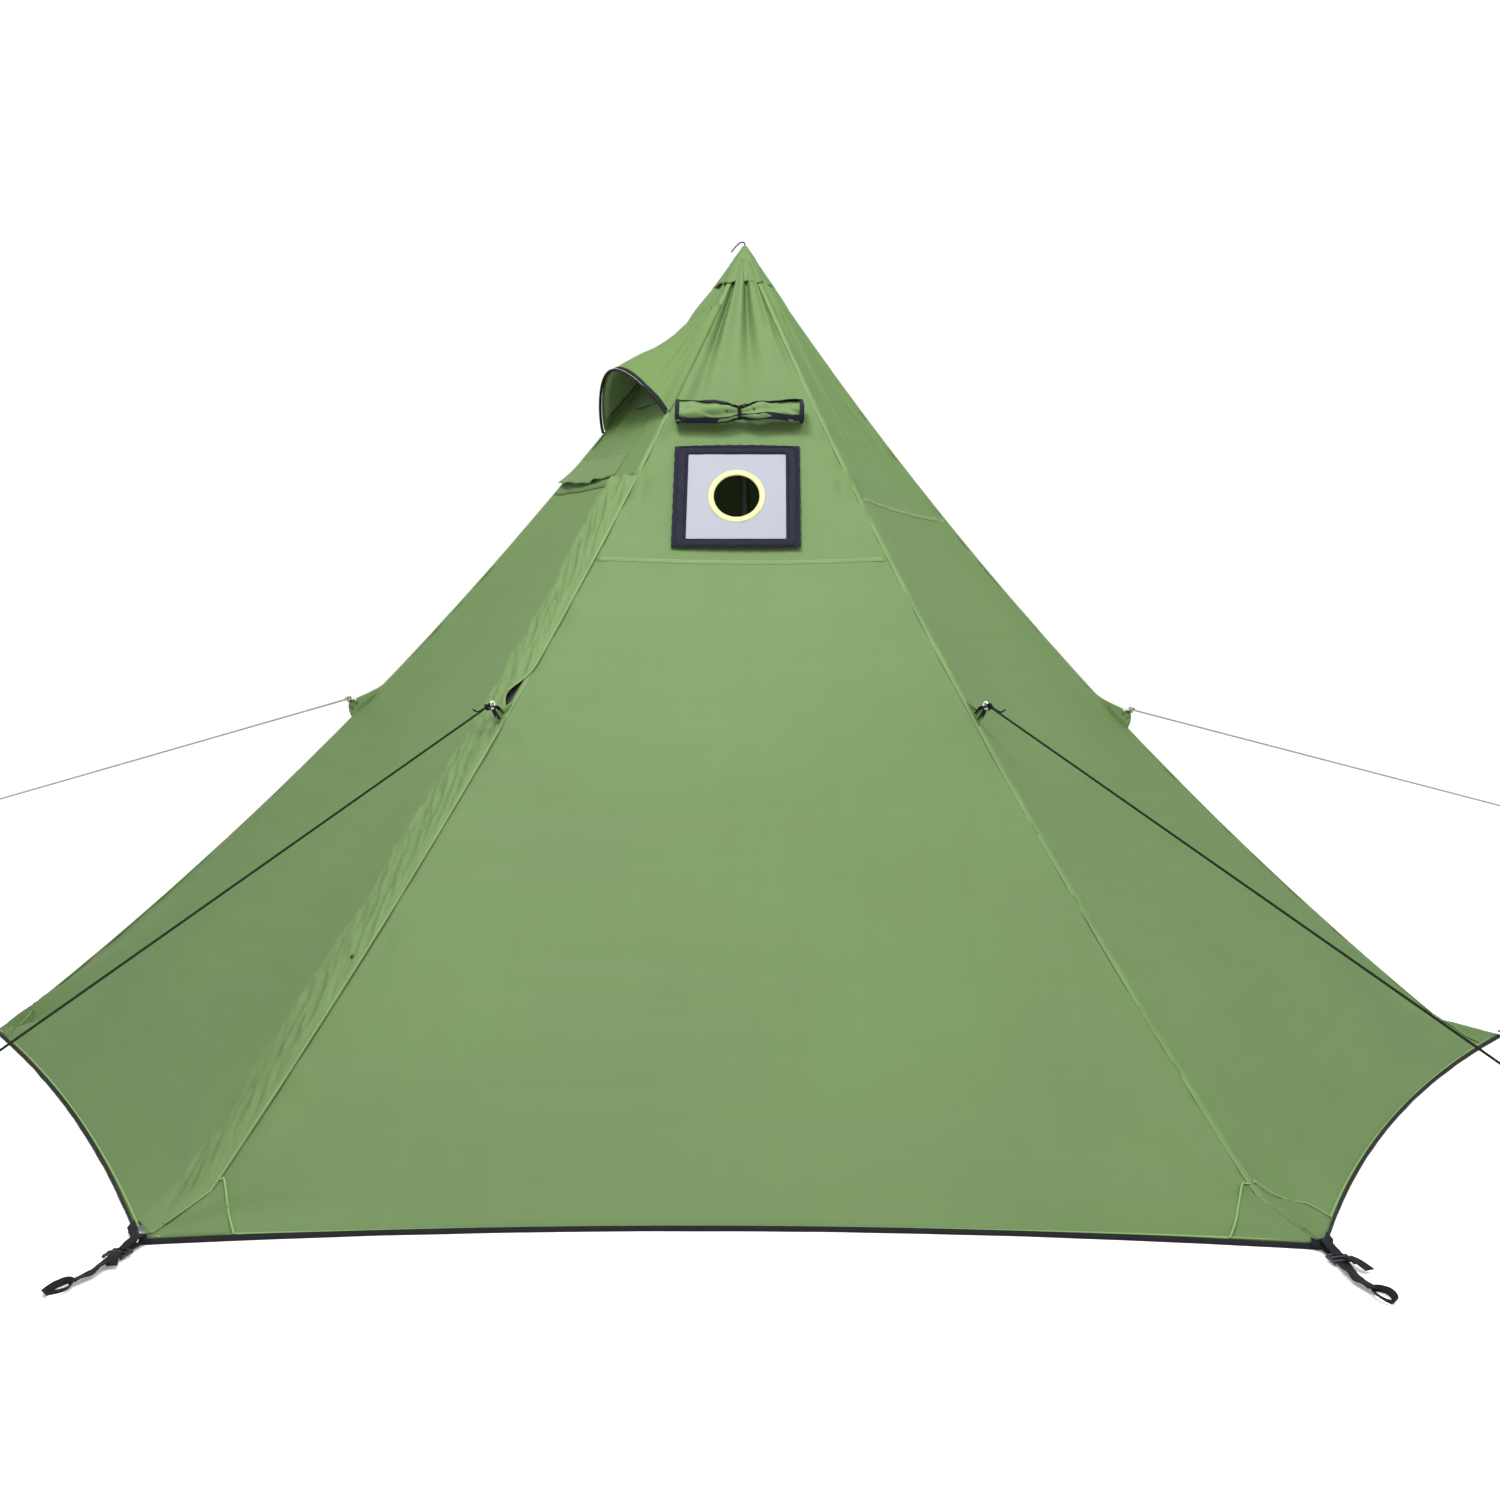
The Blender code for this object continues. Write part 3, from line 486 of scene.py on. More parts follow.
GREEN = (0.081, 0.137, 0.0455)
# A darker copy of the fly's green for the side faces, the door, the vent and the hood: painted shade for
# faces turned away from the lamps
SHADED_SIDE_GREEN = (0.077, 0.137, 0.039)
# A lighter copy of the fly's green for the storm flap and the door-top lip: painted light for the light they
# catch
LIT_FLAP_GREEN = (0.090, 0.150, 0.050)
LINING = (0.15, 0.22, 0.09)
TRIM = (0.090, 0.150, 0.048)
SEAM = (0.094, 0.157, 0.053)
THREAD = (0.17, 0.235, 0.10)
DARK = (0.009, 0.0095, 0.012)
BINDING = (0.011, 0.0115, 0.014)
SEAM_WIDTH = 0.016

M = {
    "fly": cloth_material("fly_cloth", GREEN),
    # The side cloth: the fly cloth darkened as painted shade
    "side": cloth_material("fly_cloth_painted_side_shade", SHADED_SIDE_GREEN, 0.12),
    # The flap cloth: the fly cloth lightened as painted light
    "flap": cloth_material("lit_flap_cloth", LIT_FLAP_GREEN, 0.16),
    "lining": cloth_material("hood_lining", LINING, 0.06),
    "trim": cloth_material("trim_cloth", TRIM, 0.14),
    "ridge": seam_material("ridge_seam", SEAM, THREAD, SEAM_WIDTH, (0.14, 0.86)),
    "felled": seam_material("felled_seam", SEAM, THREAD, 0.012, (0.2, 0.8)),
    # Pale flap cloth laid along folded edges: a painted highlight
    "edge_highlight_cloth": cloth_material("folded_edge_painted_highlight", shade(LIT_FLAP_GREEN, 1.60), 0.16),
    "binding": webbing_material("binding", BINDING),
    "webbing": webbing_material("webbing", DARK, 0.0022),
    "border": webbing_material("jack_border", (0.012, 0.0125, 0.022), 0.0020),
    "jack": cloth_material("jack_cloth", (0.214, 0.225, 0.257), 0.04),
    "ring": cloth_material("jack_ring_cloth", (0.42, 0.43, 0.215), 0.06),
    "cord": cord_material("guy_cord_dark", (0.006, 0.012, 0.004), (0.022, 0.034, 0.016)),
    "pale_cord": cord_material("guy_cord_pale", (0.26, 0.27, 0.25), (0.42, 0.43, 0.41)),
    "black_cord": cord_material("black_cord", (0.006, 0.006, 0.007), (0.02, 0.02, 0.022)),
    "plastic": moulded_material("moulded_black", (0.022, 0.022, 0.026)),
    "pale_plastic": moulded_material("moulded_pale", (0.62, 0.62, 0.58)),
    "rubber": moulded_material("rubber_foot", (0.02, 0.02, 0.02), 0.8),
    "steel": metal_material("zip_steel", (0.55, 0.56, 0.58), 0.35),
    "aluminium": metal_material("pole_aluminium", (0.62, 0.63, 0.65), 0.32),
    "net": netting_material("netting", (0.050, 0.082, 0.030)),
    "zip": zip_material("zip_tape", (0.03, 0.032, 0.03), (0.08, 0.085, 0.08)),
}


# Mesh helpers


def add(name, points, faces, material, uvs=None, smooth=True):
    mesh = bpy.data.meshes.new(name)
    mesh.from_pydata([tuple(point) for point in points], [], faces)
    if uvs:
        layer = mesh.uv_layers.new(name="UVMap")
        for loop in mesh.loops:
            layer.data[loop.index].uv = uvs[loop.vertex_index]
    mesh.materials.append(M[material])
    if smooth:
        mesh.shade_smooth()
    made = bpy.data.objects.new(name, mesh)
    bpy.context.scene.collection.objects.link(made)
    return made


def outwards(piece, filled=False):
    """Turn the faces out, after closing the open ends if asked."""
    shape = bmesh.new()
    shape.from_mesh(piece.data)
    if filled:
        bmesh.ops.holes_fill(shape, edges=[edge for edge in shape.edges if edge.is_boundary], sides=0)
    bmesh.ops.recalc_face_normals(shape, faces=shape.faces)
    shape.to_mesh(piece.data)
    shape.free()
    return piece


def thicken(piece, thickness=CLOTH, offset=-1.0):
    """Make a sheet solid, and apply that."""
    solid = piece.modifiers.new("thickness", "SOLIDIFY")
    solid.thickness = thickness
    solid.offset = offset
    graph = bpy.context.evaluated_depsgraph_get()
    mesh = bpy.data.meshes.new_from_object(piece.evaluated_get(graph))
    piece.modifiers.clear()
    piece.data = mesh
    return piece


def finish_piece(piece, body, slot, replaced=()):
    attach(piece, body)
    if replaced:
        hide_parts(*replaced)
    return piece


def strip_faces(rows, count, closed=True):
    """Quads between rows of points, each row an open or a closed line."""
    faces = []
    for row in range(rows - 1):
        for k in range(count if closed else count - 1):
            a, b = row * count + k, row * count + (k + 1) % count
            faces.append((a, b, b + count, a + count))
    return faces


def grid(name, rows, material, towards, closed=False):
    """A sheet through rows of points, its faces turned towards a direction, with UVs in metres."""
    columns = len(rows[0])
    uvs = []
    for row in rows:
        middle = row[columns // 2]
        down = (middle - rows[0][columns // 2]).length
        for k, point in enumerate(row):
            uvs.append(((point - middle).length * (1 if k > columns // 2 else -1), down))
    points = [point for row in rows for point in row]
    return facing(add(name, points, strip_faces(len(rows), columns, closed), material, uvs), towards)


def facing(piece, towards):
    """Turn a sheet's faces over if its middle face looks the wrong way."""
    middle = piece.data.polygons[len(piece.data.polygons) // 2]
    if middle.normal.dot(towards) < 0:
        piece.data.flip_normals()
    return piece


def skin(name, rows, material, towards, slot, body="tent", replaced=(), thickness=CLOTH, closed=False):
    """A thickened, finished grid."""
    piece = thicken(grid(name, rows, material, towards, closed), thickness)
    return finish_piece(piece, body, slot, replaced)


def sweep(name, points, count, material, uvs):
    """A closed solid through sections of `count` points."""
    total = len(points)
    ends = [tuple(range(count)), tuple(range(total - 1, total - count - 1, -1))]
    return outwards(add(name, points, ends + strip_faces(total // count, count), material, uvs))


def ribbon(name, frames, width, thickness, material):
    """A soft flat strip through (point, side, normal) frames, with rounded edges and UVs in metres."""
    half = width / 2
    soft = min(thickness * 0.35, half * 0.5)
    top = (-half + soft, -half * 0.4, half * 0.4, half - soft)
    section = [(-half, soft), *((across, thickness) for across in top), (half, soft)]
    section += [(half - soft, 0), (0, 0), (-half + soft, 0)]
    points, uvs = [], []
    along = 0.0
    for index, (point, side, normal) in enumerate(frames):
        if index:
            along += (point - frames[index - 1][0]).length
        for across, up in section:
            points.append(point + side * across + normal * up)
            uvs.append((across + half, along))
    return sweep(name, points, len(section), material, uvs)


def strip(name, frames, width, thickness, material, slot="webbing_black", body="tent", replaced=()):
    """A finished ribbon."""
    return finish_piece(ribbon(name, frames, width, thickness, material), body, slot, replaced)


def tangents(path, closed=False):
    """The direction of a path at each of its points."""
    count = len(path)
    if closed:
        return [(path[(k + 1) % count] - path[k - 1]).normalized() for k in range(count)]
    return [(path[min(k + 1, count - 1)] - path[max(k - 1, 0)]).normalized() for k in range(count)]


def curve(name, points, radius, material, cyclic=False, sides=3):
    data = bpy.data.curves.new(name, "CURVE")
    data.dimensions = "3D"
    data.bevel_depth = radius
    data.bevel_resolution = sides
    data.use_fill_caps = True
    spline = data.splines.new("POLY")
    spline.points.add(len(points) - 1)
    for place, point in zip(spline.points, points):
        place.co = (*point, 1)
    spline.use_cyclic_u = cyclic
    spline.use_smooth = True
    data.materials.append(M[material])
    made = bpy.data.objects.new(name, data)
    bpy.context.scene.collection.objects.link(made)
    return made


def line(name, points, radius, material, slot="webbing_black", body="tent", replaced=(), **shape):
    """A finished curve."""
    return finish_piece(curve(name, points, radius, material, **shape), body, slot, replaced)


def smooth_path(points, steps=8):
    """A Catmull-Rom curve through points."""
    last = len(points) - 1
    path = []
    for index in range(last):
        p = [points[max(0, min(last, index + k))] for k in (-1, 0, 1, 2)]
        for step in range(steps):
            t = step / steps
            bend = (2 * p[0] - 5 * p[1] + 4 * p[2] - p[3]) * t**2
            bend += (3 * p[1] - p[0] - 3 * p[2] + p[3]) * t**3
            path.append(0.5 * (2 * p[1] + (p[2] - p[0]) * t + bend))
    return path + [points[-1]]


def cut_window(piece, place, width, height):
    """Cut a sheet along a rectangle's four sides, and take out what lies inside it."""
    shape = bmesh.new()
    shape.from_mesh(piece.data)
    right, up = place.col[0].to_3d(), place.col[1].to_3d()
    centre = place.translation
    for direction, half in ((right, width / 2), (-right, width / 2), (up, height / 2), (-up, height / 2)):
        geometry = shape.verts[:] + shape.edges[:] + shape.faces[:]
        bmesh.ops.bisect_plane(shape, geom=geometry, plane_co=centre + direction * half, plane_no=direction)
    inside = []
    for face in shape.faces:
        offset = face.calc_center_median() - centre
        if abs(offset.dot(right)) < width / 2 and abs(offset.dot(up)) < height / 2:
            inside.append(face)
    bmesh.ops.delete(shape, geom=inside, context="FACES")
    shape.to_mesh(piece.data)
    shape.free()


# The fly


def panel(name, face, last, material, rows, columns, right=None, first=CLOTH_TOP):
    """A face's cloth from one height to another, up to `right` across it."""
    points = []
    for fraction in spread(first, last, rows):
        edge = right(fraction) if right else 1.0
        points.append([cloth_point(face, u, fraction) for u in spread(0.0, edge, columns)])
    return grid(name, points, material, face_normal(face))


FACE_LENGTH = math.hypot(PEAK_HEIGHT, CORNER_RADIUS * math.cos(math.pi / 6))


def front_place(fraction, proud=0.0):
    """A frame on the front cloth: X to the right, Y up the slope, Z out of the cloth."""
    low = flat_point("front", 0.5, fraction + 0.03)
    high = flat_point("front", 0.5, fraction - 0.03)
    up = (high - low).normalized()
    right = Vector((1, 0, 0))
    normal = right.cross(up)
    origin = flat_point("front", 0.5, fraction) + normal * proud
    origin.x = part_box("jack_panel")[0].lerp(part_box("jack_panel")[1], 0.5).x
    return placed(right, up, normal, origin)


def build_fly():
    replaced = {
        "front": ("front_upper_panel", "front_lower_panel"),
        "right_front": ("right_front_upper_panel", "right_front_lower_panel"),
        "right_rear": ("right_rear_panel",),
        "rear": ("rear_panel",),
        "left_rear": ("left_rear_panel",),
    }
    for face, nodes in replaced.items():
        # Faces other than the front and rear take the side cloth, darkened as painted shade
        material = "fly" if face in ("front", "rear") else "side"
        fine = {"front": (200, 110), "right_front": (150, 76)}.get(face, (80, 40))
        piece = panel(f"{face}_cloth", face, 1.0, material, *fine)
        if face == "front":
            cut_window(piece, front_place(JACK_CENTRE), *JACK_WINDOW)
        thicken(piece)
        finish_piece(piece, "tent", "fly_green", nodes)


def vent_place():
    """A frame on the vent's cloth, at the middle of its opening."""
    normal = face_normal("door", 0.5, VENT_CENTRE)
    right = UP.cross(normal).normalized()
    return placed(right, normal.cross(right), normal, flat_point("door", 0.5, VENT_CENTRE))


def build_vent():
    # The vent takes the side cloth, darkened as painted shade
    piece = panel("vent_cloth", "door", VENT_FOOT, "side", 40, 36)
    cut_window(piece, vent_place(), *VENT_WINDOW)
    thicken(piece)
    finish_piece(piece, "tent", "fly_green", ("vent_panel",))


def hood_height(v):
    return HOOD_SPAN[0] + (HOOD_SPAN[1] - HOOD_SPAN[0]) * v


def hood_point(u, v, proud=0.0):
    """The hood's outer surface: u from the left ridge to the front left one, v from its top to its rim."""
    fraction = hood_height(v)
    start = ridge_point("left", fraction, 0.0024)
    end = ridge_point("front_left", fraction, 0.0024)
    lift = level_out("door") * 0.42 + UP * 0.91
    arch = math.sin(math.pi * min(max(u, 0), 1))
    bulge = 0.11 * v**1.2 * arch**0.75
    soft = arch**0.5 * min(1, (1.02 - v) * 8)
    crease = 0.0050 * math.sin(9 * u + 3 * v) * soft * v
    crease += 0.0060 * noise.noise(Vector((u * 5, v * 3, 2.0))) * soft
    crease -= 0.0120 * bell(u - 0.86 + 0.10 * (1 - v), 0.035) * soft * (1 - 0.5 * v)
    crease += 0.0150 * bell(u - 0.955, 0.024) * soft
    return start.lerp(end, u) + lift * (bulge + crease) + face_normal("door") * proud


def build_hood():
    out = face_normal("door")
    rim_at = 1.02
    outer = []
    for v in spread(0, 1, 26):
        row = [ridge_point("left", hood_height(v), 0.0004, 0.0070)]
        row += [hood_point(u, v) for u in spread(0, 1, 61)]
        outer.append(row + [ridge_point("front_left", hood_height(v), 0.0006, -0.0070)])
    # The hood takes the side cloth, darkened as painted shade
    hood = skin("hood_cloth", outer, "side", out, "fly_green", "vent_hood", ("vent_hood",))
    inner = [[hood_point(u, v, -0.0022) for u in spread(0.02, 0.98, 33)] for v in spread(0.25, 0.985, 14)]
    lining = skin("hood_lining", inner, "lining", -out, "fly_green", "vent_hood", thickness=0.0005)
    rim = [hood_point(u, rim_at) for u in spread(0, 1, 60)]
    line("hood_piping", rim, 0.0030, "binding", body="vent_hood", replaced=("vent_hood_rim",))
    # A thin pale cord along the top of the piping: a painted highlight
    thread = [hood_point(u, rim_at, 0.0030) for u in spread(0.02, 0.98, 60)]
    line("hood_piping_highlight", thread, 0.0006, "pale_cord", body="vent_hood")
    band = [[hood_point(u, v, 0.0012) for v in (0.982, 0.988, 0.994, 1.0)] for u in spread(0.0, 1.0, 60)]
    skin("hood_rim_facing", band, "binding", out, "webbing_black", "vent_hood", thickness=0.0006)


def ridge_seam(name):
    """A felled seam folded over a ridge, so that it lies on the cloth at both sides."""
    before = {two: face for face, (_, two, _) in FACES.items()}[name]
    after = {one: face for face, (one, _, _) in FACES.items()}[name]
    half, step_in = 0.0065, 0.0010
    points, uvs = [], []
    along = 0.0
    last = None
    for fraction in spread(CAP_HEM * 0.7, 0.985, 90):
        centre, _, out, _ = ridge_frame(name, fraction)
        along += (centre - last).length if last is not None else 0
        last = centre
        wobble = 0.0006 * noise.noise(centre * 14)
        rise = 0.0006 + abs(wobble)
        sides = []
        for face, near, u in ((before, 1.0, 0.9), (after, 0.0, 0.1)):
            reach = (flat_point(face, u, fraction) - centre).normalized()
            normal = face_normal(face, near, fraction)
            places = ((half + wobble, 0.0003), (half - step_in + wobble, rise), (half * 0.4, rise))
            sides.append([centre + reach * across + normal * up for across, up in places])
        points += sides[0] + [centre + out * (rise + 0.0007)] + sides[1][::-1]
        uvs += [(share * SEAM_WIDTH, along) for share in (0, 0.06, 0.3, 0.5, 0.7, 0.94, 1)]
    faces = strip_faces(len(points) // 7, 7, closed=False)
    piece = add(f"{name}_ridge_seam", points, faces, "ridge", uvs)
    thicken(facing(piece, heading(HEADINGS[name]) + UP), 0.0006)
    finish_piece(piece, "tent", "fly_green")


def cross_seam(name, face, fraction):
    """A felled seam that lies across a face at one height and follows its folds."""
    frames = []
    for u in spread(0.02, 0.98, 60):
        down = (cloth_point(face, u, fraction + 0.01) - cloth_point(face, u, fraction - 0.01)).normalized()
        frames.append((cloth_point(face, u, fraction, 0.0001), down, face_normal(face, u, fraction)))
    strip(name, frames, 0.010, 0.0009, "felled", "fly_green")


def build_seams():
    for name in HEADINGS:
        ridge_seam(name)
    cross_seam("front_cross_seam", "front", FRONT_SEAM)
    cross_seam("right_front_cross_seam", "right_front", SIDE_SEAM)


def away_from_pole(point):
    """The level direction from the pole to a point."""
    return Vector((point.x, point.y, 0)).normalized()


def cap_point(turn, fraction):
    """The doubled cap over the peak, with its six corners on the ridges."""
    names = list(HEADINGS)
    place = turn * 6
    index = int(place) % 6
    share = place - int(place)
    out = 0.0022 + 0.0004 * bell(fraction - CAP_HEM, 0.012)
    start = ridge_point(names[index], fraction, out)
    end = ridge_point(names[(index + 1) % 6], fraction, out)
    twist = math.sin(turn * 45 + fraction * 190) + 0.5 * math.sin(turn * 88 - fraction * 120)
    ripple = 0.0022 * math.sin(math.pi * share) * twist * min(1, fraction / 0.02)
    point = start.lerp(end, share)
    return point + away_from_pole(point) * (ripple + 0.0015 * math.sin(math.pi * share))


def build_cap():
    top = 0.0012
    rows = []
    for share in spread(0, 1, 16):
        row = []
        for k in range(72):
            turn = k / 72
            foot = CAP_HEM + 0.0012 * math.sin(turn * 40) + 0.0008 * math.sin(turn * 95)
            row.append(cap_point(turn, top + (foot - top) * share))
        rows.append(row)
    skin("cap_cloth", rows, "fly", heading(0), "trim_green", "tent", ("apex_cap",), 0.0010, closed=True)
    hem = [cap_point(k / 96, CAP_HEM + 0.0012 * math.sin(k / 96 * 40) - 0.0020) for k in range(96)]
    hem = [point + away_from_pole(point) * 0.0008 for point in hem]
    line("cap_hem_stitch", hem, 0.0009, "trim", "trim_green", cyclic=True, sides=1)
    peak = Vector((0, 0, PEAK_HEIGHT))
    hook = [(0.0005, 0, -0.002), (-0.0010, -0.0010, 0.0065), (-0.0060, -0.0030, 0.0080)]
    hook += [(-0.0130, -0.0060, 0.0040), (-0.0220, -0.0090, -0.0060), (-0.0280, -0.0105, -0.0140)]
    route = smooth_path([peak + Vector(place) for place in hook], 5)
    line("peak_cord", route, 0.0013, "black_cord", "cord_grey", replaced=("apex_cord",))


# The door


def door_u(fraction):
    """Where the door's free edge lies across its face at this height."""
    one, two = FACES["door"][:2]
    width = (ridge_point(one, fraction) - ridge_point(two, fraction)).length
    if fraction > LAST_ARC_ROW:
        width = CORNER_RADIUS
    return 1 - DOOR_EDGE / 0.87 / max(width, 0.1)


def swing(piece, slot, hinge):
    """Bake a piece's transform into its mesh."""
    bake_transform(piece)
    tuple(hinge)


def build_door():
    # The door takes the side cloth, darkened as painted shade
    cloth = thicken(panel("door_cloth", "door", 1.0, "side", 140, 76, door_u, DOOR_TOP))
    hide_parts("door_panel")
    swing(cloth, "fly_green", ridge_point("left", 0.6))
    # The vent cloth's lower edge stands proud of the door's top as a lip, in the lighter flap cloth that
    # paints the light it catches
    lip = []
    end = 0.66
    for u in spread(0.0, end, 60):
        swell = 0.0105 * bell(u - 0.14, 0.20) + 0.0040 * bell(u - 0.48, 0.06) + 0.0022
        swell += 0.0020 * math.sin(u * 44) * bell(u - 0.4, 0.3)
        row = []
        for share in spread(0, 1, 9):
            fraction = DOOR_TOP - 0.040 + 0.027 * share + 0.005 * share * math.sin(math.pi * u / end)
            proud = 0.0012 + swell * share**1.4 * min(1, (end + 0.01 - u) * 10)
            row.append(cloth_point("door", u, fraction, proud))
        lip.append(row)
    skin("door_top_lip", lip, "flap", face_normal("door"), "fly_green", thickness=0.0010)


def over_ridge(fraction, out, side):
    """A point near the front left ridge; past the last arc row it goes down to the corner with the cloth."""
    point = ridge_point("front_left", fraction, out, side)
    if fraction <= LAST_ARC_ROW:
        return point
    face, u = ("door", 1 - side / CORNER_RADIUS) if side > 0 else ("front", -side / CORNER_RADIUS)
    low = flat_point(face, u, fraction) + face_normal(face, u, fraction) * max(out, 0.0026)
    return point.lerp(low, (fraction - LAST_ARC_ROW) / (1 - LAST_ARC_ROW))


def crumple(along, across, seed):
    """Creases that run along a strip: long in one direction, narrow and sharp in the other."""
    slant = noise.noise(Vector((along * 8 - across * 12, across * 62 + along * 15, seed)))
    small = noise.noise(Vector((along * 24, across * 130 + along * 44, seed + 5)))
    return (1 - 3.0 * abs(slant)) * 0.55 + 0.35 * (1 - 2.4 * abs(small)) - 0.35


def flap_section(fraction):
    """The storm flap at one height, from its seam on the door, up, and back over the zip to the ridge."""
    along = fraction * FACE_LENGTH
    wave = noise.noise(Vector((along * 11, 0.3, 1.0)))
    small = noise.noise(Vector((along * 42, 1.3, 4.0)))
    foot = min(1, (1.002 - fraction) / 0.06)
    slit = bell(fraction - GUY_SEAM + 0.022, 0.016)
    crest = 0.0700 + (0.0050 * wave + 0.0030 * small) * foot
    spine = [
        (0.0560, -0.0195, 0.0),
        (crest + 0.0010, -0.0225, 0.2),
        (crest, -0.0130 + 0.004 * wave, 0.3),
        (crest - 0.010, 0.0015 + 0.004 * wave, 0.8),
        (0.0400, 0.0050, 1.0),
        (0.0180, 0.0055, 0.9),
        (0.0020 + 0.018 * slit, 0.0040 + 0.004 * slit, 0.3),
        (-0.0070 + 0.024 * slit, 0.0000 + 0.007 * slit, 0.0),
    ]
    row = []
    for side, out, soft in smooth_path([Vector(place) for place in spine], 7):
        lift = 0.0085 * soft * crumple(along, side, 2.0) * foot
        row.append(over_ridge(fraction, out * (foot if out > 0 else 1) + lift, side))
    return row


def build_flap():
    out = ridge_frame("front_left", 0.5)[2]
    rows = [flap_section(fraction) for fraction in spread(DOOR_TOP - 0.001, 0.994, 420)]
    # The flap's cloth is the lighter copy that paints the light it catches
    flap = skin("storm_flap_cloth", rows, "flap", out, "fly_green", "door", ("door_storm_flap",), 0.0011)
    # The stitched edge next to the ridge, and at the other side the fold, in pale cloth that paints its
    # highlight
    edge, fold = [], []
    for fraction in spread(DOOR_TOP + 0.002, 0.985, 240):
        row = flap_section(fraction)
        _, down, out, _ = ridge_frame("front_left", fraction)
        side = (row[-1] - row[-5]).normalized()
        normal = turned_to(side.cross(down).normalized(), out)
        edge.append((row[-3] + normal * 0.0004, side, normal))
    strip("storm_flap_edge", edge, 0.0055, 0.0003, "felled", "fly_green", "door")
    for fraction in spread(DOOR_TOP + 0.002, 0.975, 300):
        row = flap_section(fraction)
        away = face_normal("door", 0.95, fraction)
        side = (row[16] - row[12]).normalized()
        normal = turned_to(side.cross(ridge_frame("front_left", fraction)[1]).normalized(), away)
        fold.append((row[14] + away * 0.0006, side, normal))
    strip("storm_flap_fold", fold, 0.0036, 0.0008, "edge_highlight_cloth", "fly_green", "door")
    centre = flap_section(SNAP_AT)[-12]
    out = ridge_frame("front_left", SNAP_AT)[2]
    stud = [centre + out * 0.0002, centre + out * 0.0024]
    line("storm_flap_snap", stud, 0.0032, "plastic", body="door", sides=6)


# Hem


def build_hem():
    for index, face in enumerate(FACES):
        points, uvs, turned = [], [], []
        along = 0.0
        last = None
        is_door = face == "door"
        out = level_out(face)
        ends = (0.004, 1 - DOOR_EDGE / CORNER_RADIUS) if is_door else (0.0005, 0.9995)
        for u in spread(*ends, 90):
            foot, middle = hem_point(face, u, 0), hem_point(face, u, HEM_LINE)
            wobble = 0.0012 * noise.noise(Vector((u * 18, index * 2.0, 0)))
            normal = face_normal(face, u, 0.97)
            along += (foot - last).length if last is not None else 0
            last = foot
            lip = middle + (cloth_point(face, u, 0.990) - middle).normalized() * 0.0012
            points += [
                foot - out * 0.0014 + UP * 0.0002,
                foot + out * (0.0010 + wobble) + UP * 0.0002,
                foot + out * (0.0018 + wobble) + UP * 0.0028,
                hem_point(face, u, HEM_LINE - 0.001) + out * 0.0014,
                lip + normal * 0.0012,
                lip + normal * 0.0003,
                hem_point(face, u, HEM_LINE - 0.003) - out * 0.0012,
            ]
            uvs += [(share * 0.014, along) for share in (0, 0.2, 0.4, 0.6, 0.8, 0.9, 1)]
            edge = cloth_point(face, u, 0.9972)
            turned.append((edge, (middle - edge).normalized(), normal))
        piece = sweep(f"{face}_hem_binding", points, 7, "binding", uvs)
        # The hem's fold is a pale strip that paints a highlight along it
        fold = ribbon(f"{face}_hem_fold", turned, 0.0042, 0.0010, "edge_highlight_cloth")
        if is_door:
            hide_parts("door_hem")
            swing(piece, "webbing_black", corner("left"))
            swing(fold, "fly_green", corner("left"))
        else:
            finish_piece(piece, "tent", "webbing_black", (f"{face}_hem",))
            finish_piece(fold, "tent", "fly_green")


# The stove jack


def square_out(c, s):
    """How far the side of a square lies in a direction, against the circle inside it."""
    return 1 / max(abs(c), abs(s))


